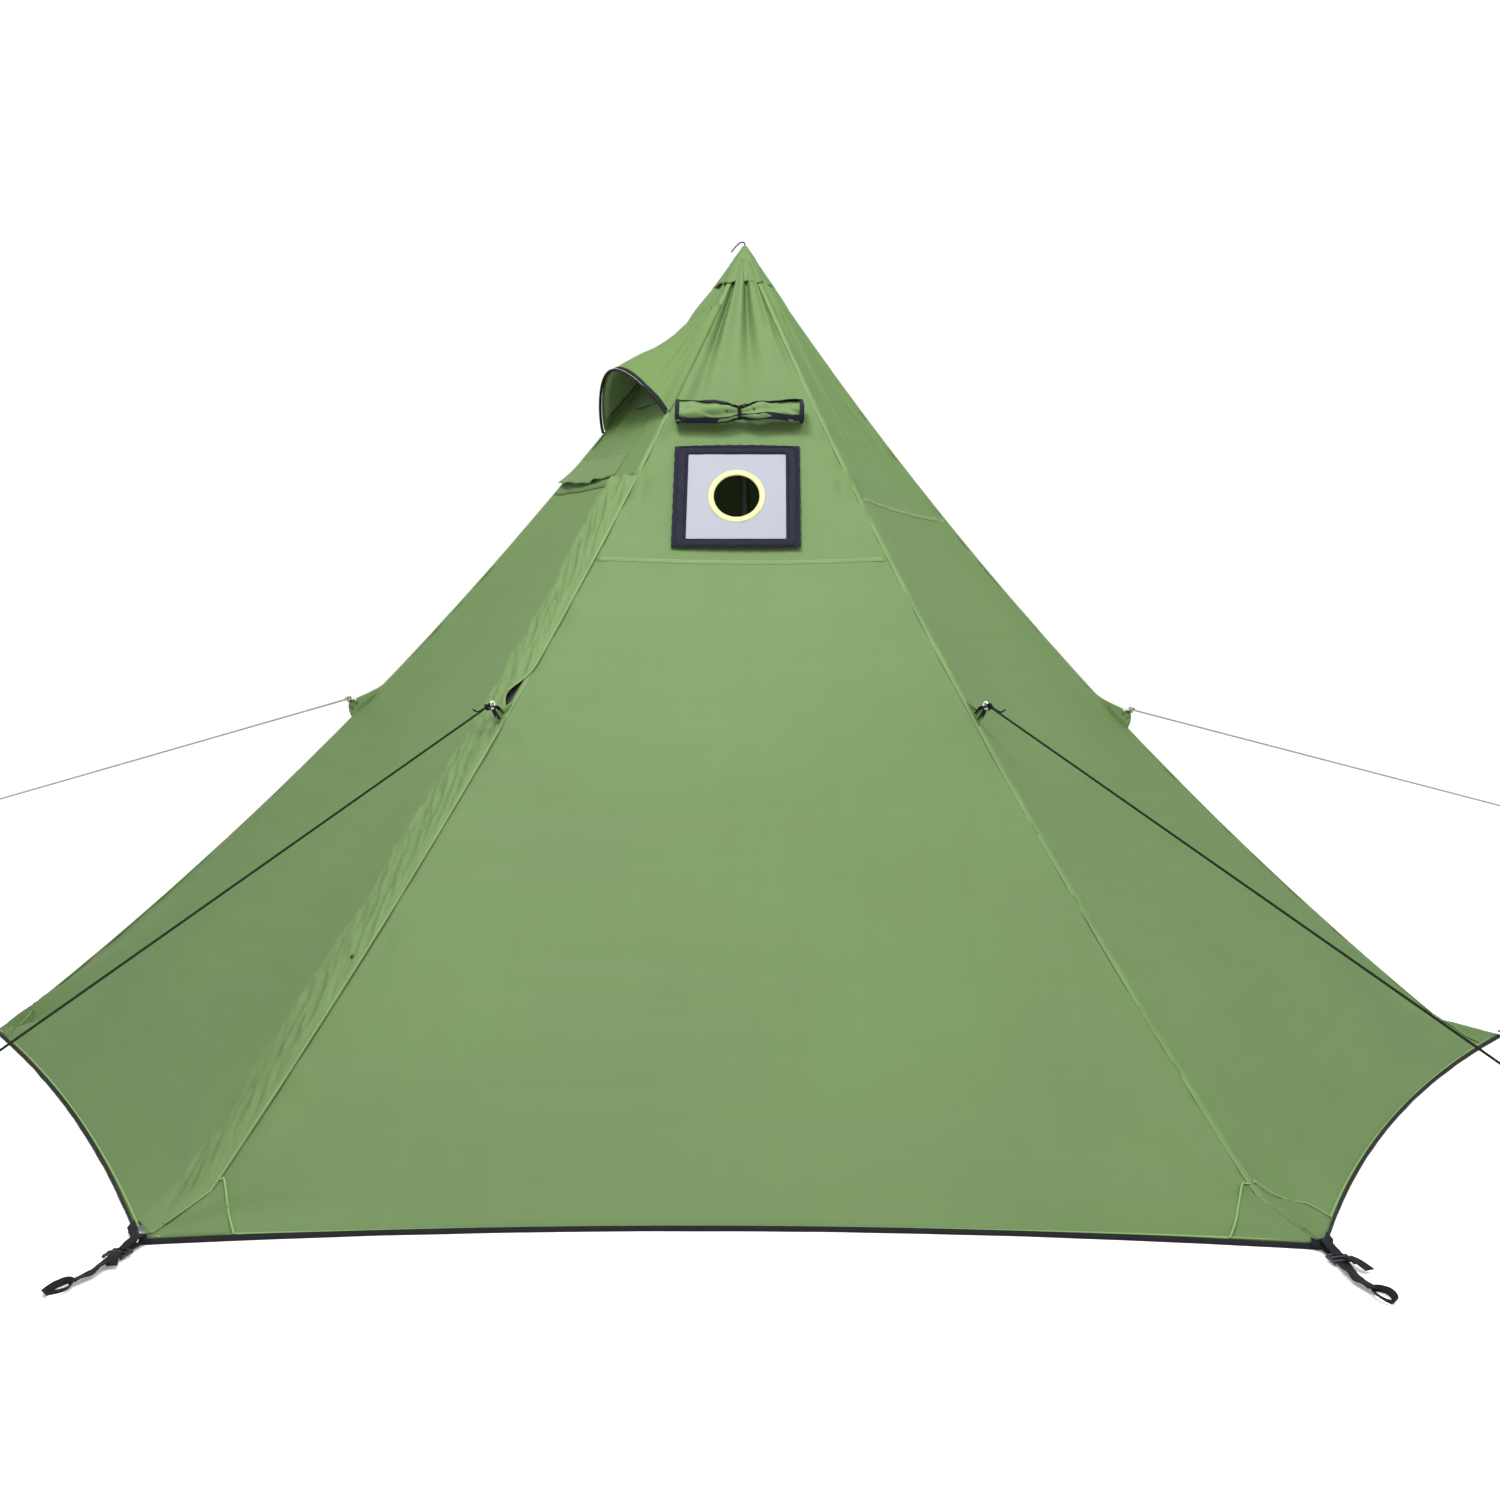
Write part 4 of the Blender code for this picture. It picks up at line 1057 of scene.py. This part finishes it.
def build_jack():
    place = front_place(JACK_CENTRE)
    out = place.col[2].to_3d()

    def at(x, y, z):
        return place @ Vector((x, y, z))

    # Panel with its hole, as rings that turn from an ellipse into a rectangle
    rings = []
    for share in spread(0, 1, 9):
        ring = []
        for c, s in around(64):
            reach = square_out(c, s)
            x = c * (JACK_HOLE[0] + (reach * JACK_HALF[0] - JACK_HOLE[0]) * share)
            y = s * (JACK_HOLE[1] + (reach * JACK_HALF[1] - JACK_HOLE[1]) * share)
            puff = 0.0010 * math.sin(math.pi * share) + 0.0006 * noise.noise(Vector((x * 30, y * 30, 0)))
            ring.append(at(x, y, 0.0006 + puff))
        rings.append(ring)
    skin("jack_cloth", rings, "jack", out, "jack_grey", "tent", ("jack_panel",), 0.0012, closed=True)
    # Border of four mitred webbing bands
    rings = []
    for inner, z in ((0, 0.0008), (0.02, 0.0024), (0.5, 0.0030), (0.98, 0.0026), (1, 0.0008)):
        ring = []
        for c, s in around(128):
            x, y = c * square_out(c, s) * 0.5, s * square_out(c, s) * 0.5
            ripple = 0.0014 * inner * math.sin(3 * x * y * 40 + 9 * x)
            width = 0.186 + 0.054 * inner + ripple
            height = 0.212 + 0.040 * inner + ripple
            arch = 0.004 * inner * (1 - 4 * x * x) if y > 0.45 else 0
            lift = z + 0.0006 * noise.noise(Vector((x * 12, y * 12, 1)))
            ring.append(at(x * width, y * height + arch, lift))
        rings.append(ring)
    skin("jack_border", rings, "border", out, "webbing_black", "tent", ("jack_frame",), 0.0006, closed=True)
    # Ring round the hole
    rings = []
    for share, z in ((0, 0.0006), (0.10, 0.0030), (0.5, 0.0036), (0.90, 0.0030), (1, 0.0010)):
        ring = []
        for c, s in around(64):
            ripple = 1 + 0.010 * noise.noise(Vector((c * 3, s * 3, share)))
            x, y = c * (0.0428 + 0.0118 * share) * ripple, s * (0.0522 + 0.0135 * share) * ripple
            ring.append(at(x, y, z))
        rings.append(ring)
    skin("jack_ring_band", rings, "ring", out, "jack_tan", "tent", ("jack_ring",), 0.0006, closed=True)
    # Stitches along the border's two edges
    for inset, name in ((-0.007, "inner"), (0.008, "outer")):
        loop = []
        for c, s in around(80, math.pi / 80):
            reach = square_out(c, s)
            loop.append(at(c * reach * (0.105 + inset), s * reach * (0.115 + inset), 0.0036))
        line(f"jack_border_thread_{name}", loop, 0.0004, "black_cord", cyclic=True, sides=1)


def roll_radius(x):
    """The rolled cover's radius: lumpy, and pinched where the tie holds it."""
    pinch = 1 - 0.50 * bell(x - 0.004, 0.022)
    lumps = 1 + 0.13 * noise.noise(Vector((x * 22, 0.5, 0))) + 0.05 * noise.noise(Vector((x * 70, 2.5, 0)))
    return ROLL_RADIUS * pinch * lumps


def build_roll():
    low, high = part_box("jack_cover_roll")
    centre_x = (low.x + high.x) / 2
    half = (high.x - low.x) / 2
    place = front_place(ROLL_CENTRE)
    matrix = place.copy()
    matrix.translation.x = centre_x
    matrix = matrix @ Matrix.Translation((0, 0, 0.0240))
    axes = matrix.to_3x3()

    def droop(x):
        return 0.004 * math.cos(math.pi * x / half / 2)

    rows = []
    for x in spread(-half, half, 110):
        radius = roll_radius(x)
        row = []
        for k in range(60):
            angle = 2 * math.pi * k / 60
            c, s = math.cos(angle), math.sin(angle)
            pleat = 1 + 0.16 * math.sin(5 * angle + 30 * x) * bell(x - 0.004, 0.06)
            pleat += 0.12 * noise.noise(Vector((x * 18, c * 2, s * 2)))
            pleat += 0.26 * crumple(x, s * 0.020, 8.0)
            row.append(matrix @ Vector((x, c * radius * pleat * 1.08 - droop(x), s * radius * pleat * 0.95)))
        rows.append(row)
    piece = outwards(grid("cover_roll_cloth", rows, "trim", place.col[2].to_3d(), closed=True), filled=True)
    finish_piece(piece, "tent", "fly_green", ("jack_cover_roll",))
    # At each end, the rolled layers as a spiral, and the cover's border
    for side, name in ((-1, "left"), (1, "right")):
        spiral = []
        for share in spread(0, 1, 70):
            angle = 2 * math.pi * ROLL_TURNS * share
            radius = 0.003 + 0.0155 * share
            offset = (side * (half + 0.0008), math.cos(angle) * radius, math.sin(angle) * radius * 0.9)
            spiral.append(matrix @ Vector(offset))
        line(f"cover_roll_layers_{name}", spiral, 0.0014, "webbing", sides=2)
        x = side * (half - 0.003)
        reach = roll_radius(x) * 1.12
        circle = around(32)
        frames = []
        for c, s in circle + circle[:1]:
            spot = matrix @ Vector((x, c * reach, s * reach))
            frames.append((spot, axes @ Vector((1, 0, 0)), axes @ Vector((0, c, s))))
        strip(f"cover_end_border_{name}", frames, 0.0070, 0.0010, "border")
    # The cover's dark border along the top of the roll, and a dark band along its underside that is painted
    # shade
    for offset, width, name in ((0.85, 0.017, "upper"), (-1.30, 0.014, "lower")):
        frames = []
        for x in spread(-half * 0.99, half * 0.99, 60):
            radius = roll_radius(x)
            angle = math.pi / 2 - offset - 0.22 * math.sin(x * 24) - 0.10 * math.sin(x * 61 + offset)
            c, s = math.cos(angle), math.sin(angle)
            spot = matrix @ Vector((x, c * radius * 1.10 - droop(x), s * radius * 1.03))
            frames.append((spot, axes @ Vector((0, -s, c)), axes @ Vector((0, c, s))))
        strip(f"cover_border_{name}", frames, width, 0.0010, "border")
    # Tie: two turns, a knot and its ends
    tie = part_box("jack_cover_tie")
    tie_x = (tie[0].x + tie[1].x) / 2 - centre_x
    route = []
    for share in spread(0, 1, 49):
        angle = 4 * math.pi * share + math.pi / 2
        offset = (tie_x - 0.002 + 0.004 * share, math.cos(angle) * 0.0128 - 0.004, math.sin(angle) * 0.0128)
        route.append(matrix @ Vector(offset))
    line("cover_tie_turns", route, 0.0014, "black_cord", replaced=("jack_cover_tie",))
    knot = matrix @ Vector((tie_x, -0.004, 0.0155))
    right, up = place.col[0].to_3d(), place.col[1].to_3d()
    bow = overhand("cover_tie_knot", knot, right, up, 0.0034, 0.0014, "black_cord")
    finish_piece(bow, "tent", "webbing_black")
    ends = {
        "left": [(-0.001, 0, 0.001), (-0.010, 0.003, 0.003), (-0.020, -0.002, 0.001), (-0.025, -0.012, 0.0)],
        "right": [(0.001, 0, 0.001), (0.010, 0.005, 0.003), (0.021, 0.004, 0.001), (0.029, -0.006, 0.0)],
        "down": [(0.000, -0.002, 0.001), (0.003, -0.014, 0.001), (0.006, -0.024, -0.004)],
    }
    for name, offsets in ends.items():
        route = smooth_path([knot + place.to_3x3() @ Vector(offset) for offset in offsets], 6)
        line(f"cover_tie_end_{name}", route, 0.0012, "black_cord")


def overhand(name, centre, along, across, size, radius, material):
    """A small knot: a trefoil pulled tight."""
    over = along.cross(across)
    points = []
    for k in range(48):
        angle = 2 * math.pi * k / 48
        x = math.sin(angle) + 2 * math.sin(2 * angle)
        y = math.cos(angle) - 2 * math.cos(2 * angle)
        z = -math.sin(3 * angle)
        points.append(centre + (along * x * 0.42 + across * y * 0.36 + over * z * 0.6) * size)
    return curve(name, points, radius, material, cyclic=True)


# Guy lines

CORD = 0.00175
STAKE_HEIGHT = 0.010
RUNNER_HALF, RUNNER_WIDE, RUNNER_THIN = 0.0165, 0.0066, 0.0033  # half its length, width and thickness
SIDE_CORD_END = 1.90  # the side lines leave the photo, so they end this far from the pole
LOOP_LENGTH = 0.036  # from the end knot to the end of the line
SIDE_LOOP_LENGTH = 0.0175  # shorter, because the side runners stop nearer to the end


def guy_line(name):
    """Where a line leaves its tab, its direction and its length, as in the CAD."""
    is_side = name in ("left", "right")
    tip = ridge_point(name, GUY_SEAM + (0 if is_side else 0.004), SIDE_REACH if is_side else FRONT_REACH)
    aim = heading(HEADINGS[name]) * STAKE_RADII[name] + UP * STAKE_HEIGHT
    along = (aim - tip).normalized()
    length = (SIDE_CORD_END - abs(tip.x)) / abs(along.x) if is_side else (aim - tip).length
    return tip, along, length


def build_tab(name, is_side):
    """A doubled cloth tab sewn into a ridge, and the webbing loop on it."""
    point, down, out, side = ridge_frame(name, GUY_SEAM)
    outline = [(-0.090, 0.0005), (-0.045, 0.013), (-0.004, 0.0255), (0.006, 0.0275), (0.018, 0.020)]
    outline += [(0.026, 0.011), (0.030, 0.0005)]
    if not is_side:
        outline = [(x * 0.60, y * 0.80) for x, y in outline]
    rows = []
    for x, y in outline:
        row = []
        for share in spread(0, 1, 6):
            bend = 0.0020 * math.sin(math.pi * share) * math.sin(x * 60)
            along = x * (1 - 0.25 * share) + 0.004 * share
            row.append(point + down * along + out * (y * share) + side * bend)
        rows.append(row)
    tab = thicken(grid(f"{name}_tab_cloth", rows, "trim", side), 0.0018, 0.0)
    finish_piece(tab, "tent", "trim_green", (f"{name}_guy_tab",))
    start = point + down * 0.004 + out * (0.012 if is_side else 0.008)
    reach = 0.014 if is_side else 0.024
    loop = []
    for c, s in around(48)[:25]:
        loop.append(start + out * (max(s, 0) ** 0.6 * reach) + down * (0.006 * c))
    frames = [(place, side, way.cross(side).normalized()) for place, way in zip(loop, tangents(loop))]
    strip(f"{name}_tab_webbing", frames, 0.010, 0.0014, "trim" if is_side else "webbing")


def build_guy(name, is_side):
    _, _, out, side = ridge_frame(name, GUY_SEAM)
    tip, along, length = guy_line(name)
    level = along.cross(UP).normalized()
    over = level.cross(along)
    cloth = "pale_cord" if is_side else "cord"
    knot_cloth = "pale_cord" if is_side else "black_cord"
    # Ring that the line is tied to
    centre = tip - along * 0.005 - out * 0.003
    first = (tip - centre).normalized()
    second = side.cross(first).normalized()
    ring = [centre + (first * c + second * s) * (0.0040 if is_side else 0.0062) for c, s in around(28)]
    line(f"{name}_guy_ring", ring, 0.0013, "pale_plastic", "plastic_black", cyclic=True)
    knot = overhand(f"{name}_guy_knot", tip + along * 0.006, along, over, 0.0050, CORD * 0.9, knot_cloth)
    # The short tail of the knot at the tab
    bends = [(0.0, 0.0), (0.010, -0.004), (0.024, -0.010), (0.034, -0.006)]
    way = -side if name == "front_right" else side
    short = 0.5 if is_side else 1.0
    stub = smooth_path([tip + along * 0.004 + (way * x + UP * z) * short for x, z in bends], 6)
    line(f"{name}_guy_tail", stub, CORD * 0.8, knot_cloth, "cord_grey")
    # End loop with its knot
    end = tip + along * length
    loop_length = SIDE_LOOP_LENGTH if is_side else LOOP_LENGTH
    half_width = 0.0055 if is_side else 0.0080
    eye = [end - along * loop_length * (0.53 - 0.39 * c) + level * half_width * s for c, s in around(28)]
    eye = curve(f"{name}_guy_eye", eye, CORD * 0.95, cloth, cyclic=True)
    knotted = end - along * loop_length
    size = 0.0034 if is_side else 0.0040
    end_knot = overhand(f"{name}_guy_eye_knot", knotted, along, over, size, CORD * 0.9, cloth)
    spare = [(0.0, 0.0, 0.0), (0.001, 0.008, 0.003), (-0.002, 0.017, 0.001), (-0.008, 0.026, 0.002)]
    spare = smooth_path([knotted - along * x + level * y + over * z for x, y, z in spare], 6)
    tail = curve(f"{name}_guy_eye_tail", spare, CORD * 0.9, cloth)
    run = length - loop_length
    route = [tip + along * distance for distance in spread(0, run, 21)]
    cord = line(f"{name}_guy_cord", route, CORD, cloth, "cord_grey", replaced=(f"{name}_guy_line",))
    for piece in (knot, eye, end_knot, tail):
        finish_piece(piece, "tent", "cord_grey")
    runner = build_runner(name, tip, along, over, level)
    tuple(tip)


def build_guys():
    for name in HEADINGS:
        is_side = name in ("left", "right")
        build_tab(name, is_side)
        if not name.startswith("rear"):
            build_guy(name, is_side)


def build_runner(name, tip, along, over, level):
    """A line runner: a slim rounded bar."""
    low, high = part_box(f"{name}_guy_runner")
    centre = tip + along * ((low + high) / 2 - tip).dot(along)
    rows = []
    for share in spread(-1, 1, 15):
        size = math.sqrt(max(0.0, 1 - abs(share) ** 5)) * 0.999 + 0.001
        row = []
        for c, s in around(20):
            x = math.copysign(abs(c) ** 0.6, c) * RUNNER_WIDE * size
            y = math.copysign(abs(s) ** 0.6, s) * RUNNER_THIN * size
            row.append(centre + along * share * RUNNER_HALF + level * x + over * y)
        rows.append(row)
    piece = outwards(grid(f"{name}_runner_bar", rows, "plastic", level, closed=True), filled=True)
    return finish_piece(piece, f"{name}_runner", "plastic_black", (f"{name}_guy_runner",))


# Corners

STRAP_HEADINGS = {
    "right": 0,
    "rear_right": 84,
    "rear_left": 100,
    "left": 180,
    "front_left": 258,
    "front_right": 275,
}


def build_buckle(name, at, across):
    """A ladder buckle of two side bars and three cross bars, and the webbing that holds it on the corner."""
    height = 0.0045
    for side, label in ((-1, "left"), (1, "right")):
        places = ((0.040, 0.0135, 0), (0.052, 0.0140, 0.0008), (0.066, 0.0132, 0))
        bar = smooth_path([at(x, side * y, height + rise) for x, y, rise in places])
        line(f"{name}_buckle_side_{label}", bar, 0.0023, "plastic", "plastic_black")
    for index, (x, z) in enumerate(((0.041, 0.0072), (0.053, 0.0080), (0.065, 0.0072))):
        bar = [at(x, y, z + 0.0006 * math.cos(y * 200)) for y in spread(-0.0135, 0.0135, 9)]
        replaced = (f"{name}_buckle",) if index == 0 else ()
        line(f"{name}_buckle_bar_{index + 1}", bar, 0.0017, "plastic", "plastic_black", replaced=replaced)
    anchor = []
    for share in spread(0, 1, 16):
        z = 0.0072 + 0.0030 * math.sin(math.pi * share) + 0.006 * (1 - share) ** 2
        anchor.append((at(-0.004 + 0.048 * share, 0.0006 * math.sin(9 * share), z), across, UP))
    strip(f"{name}_anchor_webbing", anchor, 0.014, 0.0016, "webbing")


def build_strap(name, at, along, across):
    """A twisted strap, its peg loop, and its tail."""
    strap_body = f"{name}_strap"
    seed = HEADINGS[name] * 0.37
    frames = []
    for share in spread(0, 1, 60)[:47]:
        twist = 0.38 * bell(share - 0.55, 0.22) * math.sin(seed + 1.3)
        twist += 0.12 * math.sin(share * 26 + seed) * max(0, min(1, (share - 0.40) * 8))
        bend = 0.010 * math.sin(math.pi * share) * math.sin(seed + 0.5) * bell(share - 0.6, 0.3)
        side = (across * math.cos(twist) + UP * math.sin(twist)).normalized()
        normal = turned_to(along.cross(side).normalized(), UP)
        rise = 0.0038 + abs(math.sin(twist)) * 0.0075
        rise += 0.0012 * abs(noise.noise(Vector((share * 8, seed, 0))))
        frames.append((at(0.006 + 0.206 * share, bend, rise), side, normal))
    webbing = ribbon(f"{name}_strap_webbing", frames, 0.0190, 0.0016, "webbing")
    finish_piece(webbing, strap_body, "webbing_black", (f"{name}_strap",))
    # The webbing opens into two legs round the peg's hole
    loop = []
    for k in range(40):
        angle = 2 * math.pi * k / 40
        y = 0.0098 * math.sin(angle) * (1.0 if math.cos(angle) > -0.5 else 0.85)
        loop.append(at(0.184 + 0.024 * math.cos(angle), y, 0.0052 + 0.0012 * math.sin(angle * 2 + seed)))
    frames = []
    for place, way in zip(loop, tangents(loop, closed=True)):
        out = way.cross(UP).normalized()
        frames.append((place, UP.lerp(out, 0.45).normalized(), out))
    strip(f"{name}_peg_loop", frames + frames[:1], 0.0100, 0.0014, "webbing", body=strap_body)
    side = (across * 0.95 - along * 0.3).normalized()
    tail = []
    for share in spread(0, 1, 20):
        z = 0.0100 - 0.0045 * share + 0.0030 * math.sin(math.pi * share)
        tail.append((at(0.058 + 0.040 * share, 0.006 + 0.014 * share**1.5, z), side, UP))
    strip(f"{name}_strap_tail", tail, 0.0150, 0.0013, "webbing", body=strap_body)


def build_corners():
    for name in HEADINGS:
        along = heading(STRAP_HEADINGS[name])
        across = Vector((-along.y, along.x, 0))

        def at(x, y, z):
            return corner(name) + along * x + across * y + UP * z

        build_buckle(name, at, across)
        build_strap(name, at, along, across)


def build_wraps():
    """The webbing that runs from each front corner a little way along its hems."""
    reaches = {("door", 1): 0.066, ("front", 0): 0.010, ("front", 1): 0.018, ("right_front", 0): 0.030}
    for (face, end), reach in reaches.items():
        first, second, _ = FACES[face]
        away = level_out(face)
        slope = turned_to(face_normal(face, 0.5, 0.9).cross(corner(second) - corner(first)).normalized(), UP)
        frames = []
        for share in spread(0, 1, 24):
            u = reach * share / CORNER_RADIUS
            place = hem_point(face, 1 - u if end else u, 0.0062 + 0.0050 * share)
            wobble = 0.0014 * noise.noise(Vector((share * 5, reach * 90, 3.0)))
            frames.append((place + away * (0.0034 + wobble), slope, away))
        strip(f"{face}_wrap_{FACES[face][end]}", frames, 0.0140, 0.0016, "webbing")


def build_patches():
    """A doubled corner where each hem meets its ridge."""
    for face, end in [(face, end) for face in FACES for end in (0, 1)]:
        if (face, end) == ("door", 1):
            continue
        ridge = FACES[face][end]
        rows = []
        for share in spread(0, 1, 10):
            width = (0.012 + 0.105 * share) / CORNER_RADIUS
            across = [width * part + 0.002 for part in spread(0, 1, 12)]
            height = 0.9985 - 0.056 * (1 - share)
            rows.append([cloth_point(face, 1 - u if end else u, height, 0.0011) for u in across])
        # Side faces take the side cloth, darkened as painted shade
        material = "fly" if face in ("front", "rear") else "side"
        patch = thicken(grid(f"{face}_patch_{ridge}", rows, material, face_normal(face)), 0.0007)
        # The patch's turned edges: along its top, and down its inner side, in pale cloth that paints their
        # highlight
        normal = face_normal(face, 0.98 if end else 0.02, 0.96)
        path = smooth_path([rows[0][k] for k in (0, 6, 11)] + [rows[k][11] for k in (3, 6, 9)], 6)
        frames = []
        for place, way in zip(path, tangents(path)):
            frames.append((place + normal * 0.0006, way.cross(normal).normalized(), normal))
        edge = ribbon(f"{face}_patch_edge_{ridge}", frames, 0.0034, 0.0007, "edge_highlight_cloth")
        for piece in (patch, edge):
            if face == "door":
                swing(piece, "fly_green", corner("left"))
            else:
                finish_piece(piece, "tent", "fly_green")


# What keeps its CAD shape


def dress_cad():
    looks = {
        "pole_lower": "aluminium",
        "pole_middle": "aluminium",
        "pole_upper": "aluminium",
        "pole_foot": "rubber",
        "vent_mesh": "net",
        "zip_half_fixed": "zip",
        "zip_half_door": "zip",
        "zip_slider": "steel",
        "zip_pull": "steel",
    }
    for name, look in looks.items():
        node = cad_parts[name]
        node.data.materials.clear()
        node.data.materials.append(M[look])


# Stage


def light(name, place, target, size, power):
    data = bpy.data.lights.new(name, "AREA")
    data.size = size
    data.energy = power
    made = bpy.data.objects.new(name, data)
    made.location = place
    made.rotation_euler = (Vector(target) - Vector(place)).to_track_quat("-Z", "Y").to_euler()
    bpy.context.scene.collection.objects.link(made)


def build_stage():
    floor_shader = Shader("floor", (0.90, 0.90, 0.90), 0.9)
    floor_shader.set("Emission Color", (1, 1, 1, 1))
    floor_shader.set("Emission Strength", 0.16)
    M["floor"] = floor_shader.material
    size, drop = 30, 0.0005
    ends = ((-size, -size), (size, -size), (size, size), (-size, size))
    floor = add("floor", [(x, y, -drop) for x, y in ends], [(0, 1, 2, 3)], "floor", smooth=False)
    world = bpy.data.worlds.new("studio")
    bpy.context.scene.world = world
    world.use_nodes = True
    background = world.node_tree.nodes["Background"]
    background.inputs["Color"].default_value = (1, 1, 1, 1)
    background.inputs["Strength"].default_value = 1.0
    light("key", place=(1.9, -6.3, 6.4), target=(0, 0, 0.7), size=3.5, power=440)
    light("fill", place=(5.0, -3.0, 4.5), target=(0, 0, 0.8), size=4.0, power=60)
    light("top", place=(-0.5, -1.5, 3.0), target=(-0.1, -0.1, 1.5), size=0.6, power=58)


CAMERA_PLACE = (0.0534, -3.7504, 0.7815)
CAMERA_TURN = (-0.645, -2.64, 0.03)  # yaw from the Y axis, pitch and roll, in degrees
CAMERA_LENS = 42.645


def build_camera():
    """The photograph's viewpoint, fitted to the corners and the peak."""
    data = bpy.data.cameras.new("camera")
    data.lens = CAMERA_LENS
    data.sensor_width = 36
    data.clip_end = 200
    made = bpy.data.objects.new("camera", data)
    made.location = CAMERA_PLACE
    yaw, pitch, roll = map(math.radians, CAMERA_TURN)
    look = Vector((math.sin(yaw) * math.cos(pitch), math.cos(yaw) * math.cos(pitch), math.sin(pitch)))
    rolled = Matrix.Rotation(roll, 3, "Z").to_quaternion()
    made.rotation_euler = (look.to_track_quat("-Z", "Y") @ rolled).to_euler()
    bpy.context.scene.collection.objects.link(made)
    bpy.context.scene.camera = made
    bpy.context.scene.view_settings.view_transform = "Standard"


build_camera()
build_guys()
build_fly()
build_vent()
build_hood()
build_seams()
build_cap()
build_door()
build_flap()
build_hem()
build_jack()
build_roll()
build_corners()
build_wraps()
build_patches()
dress_cad()
build_stage()
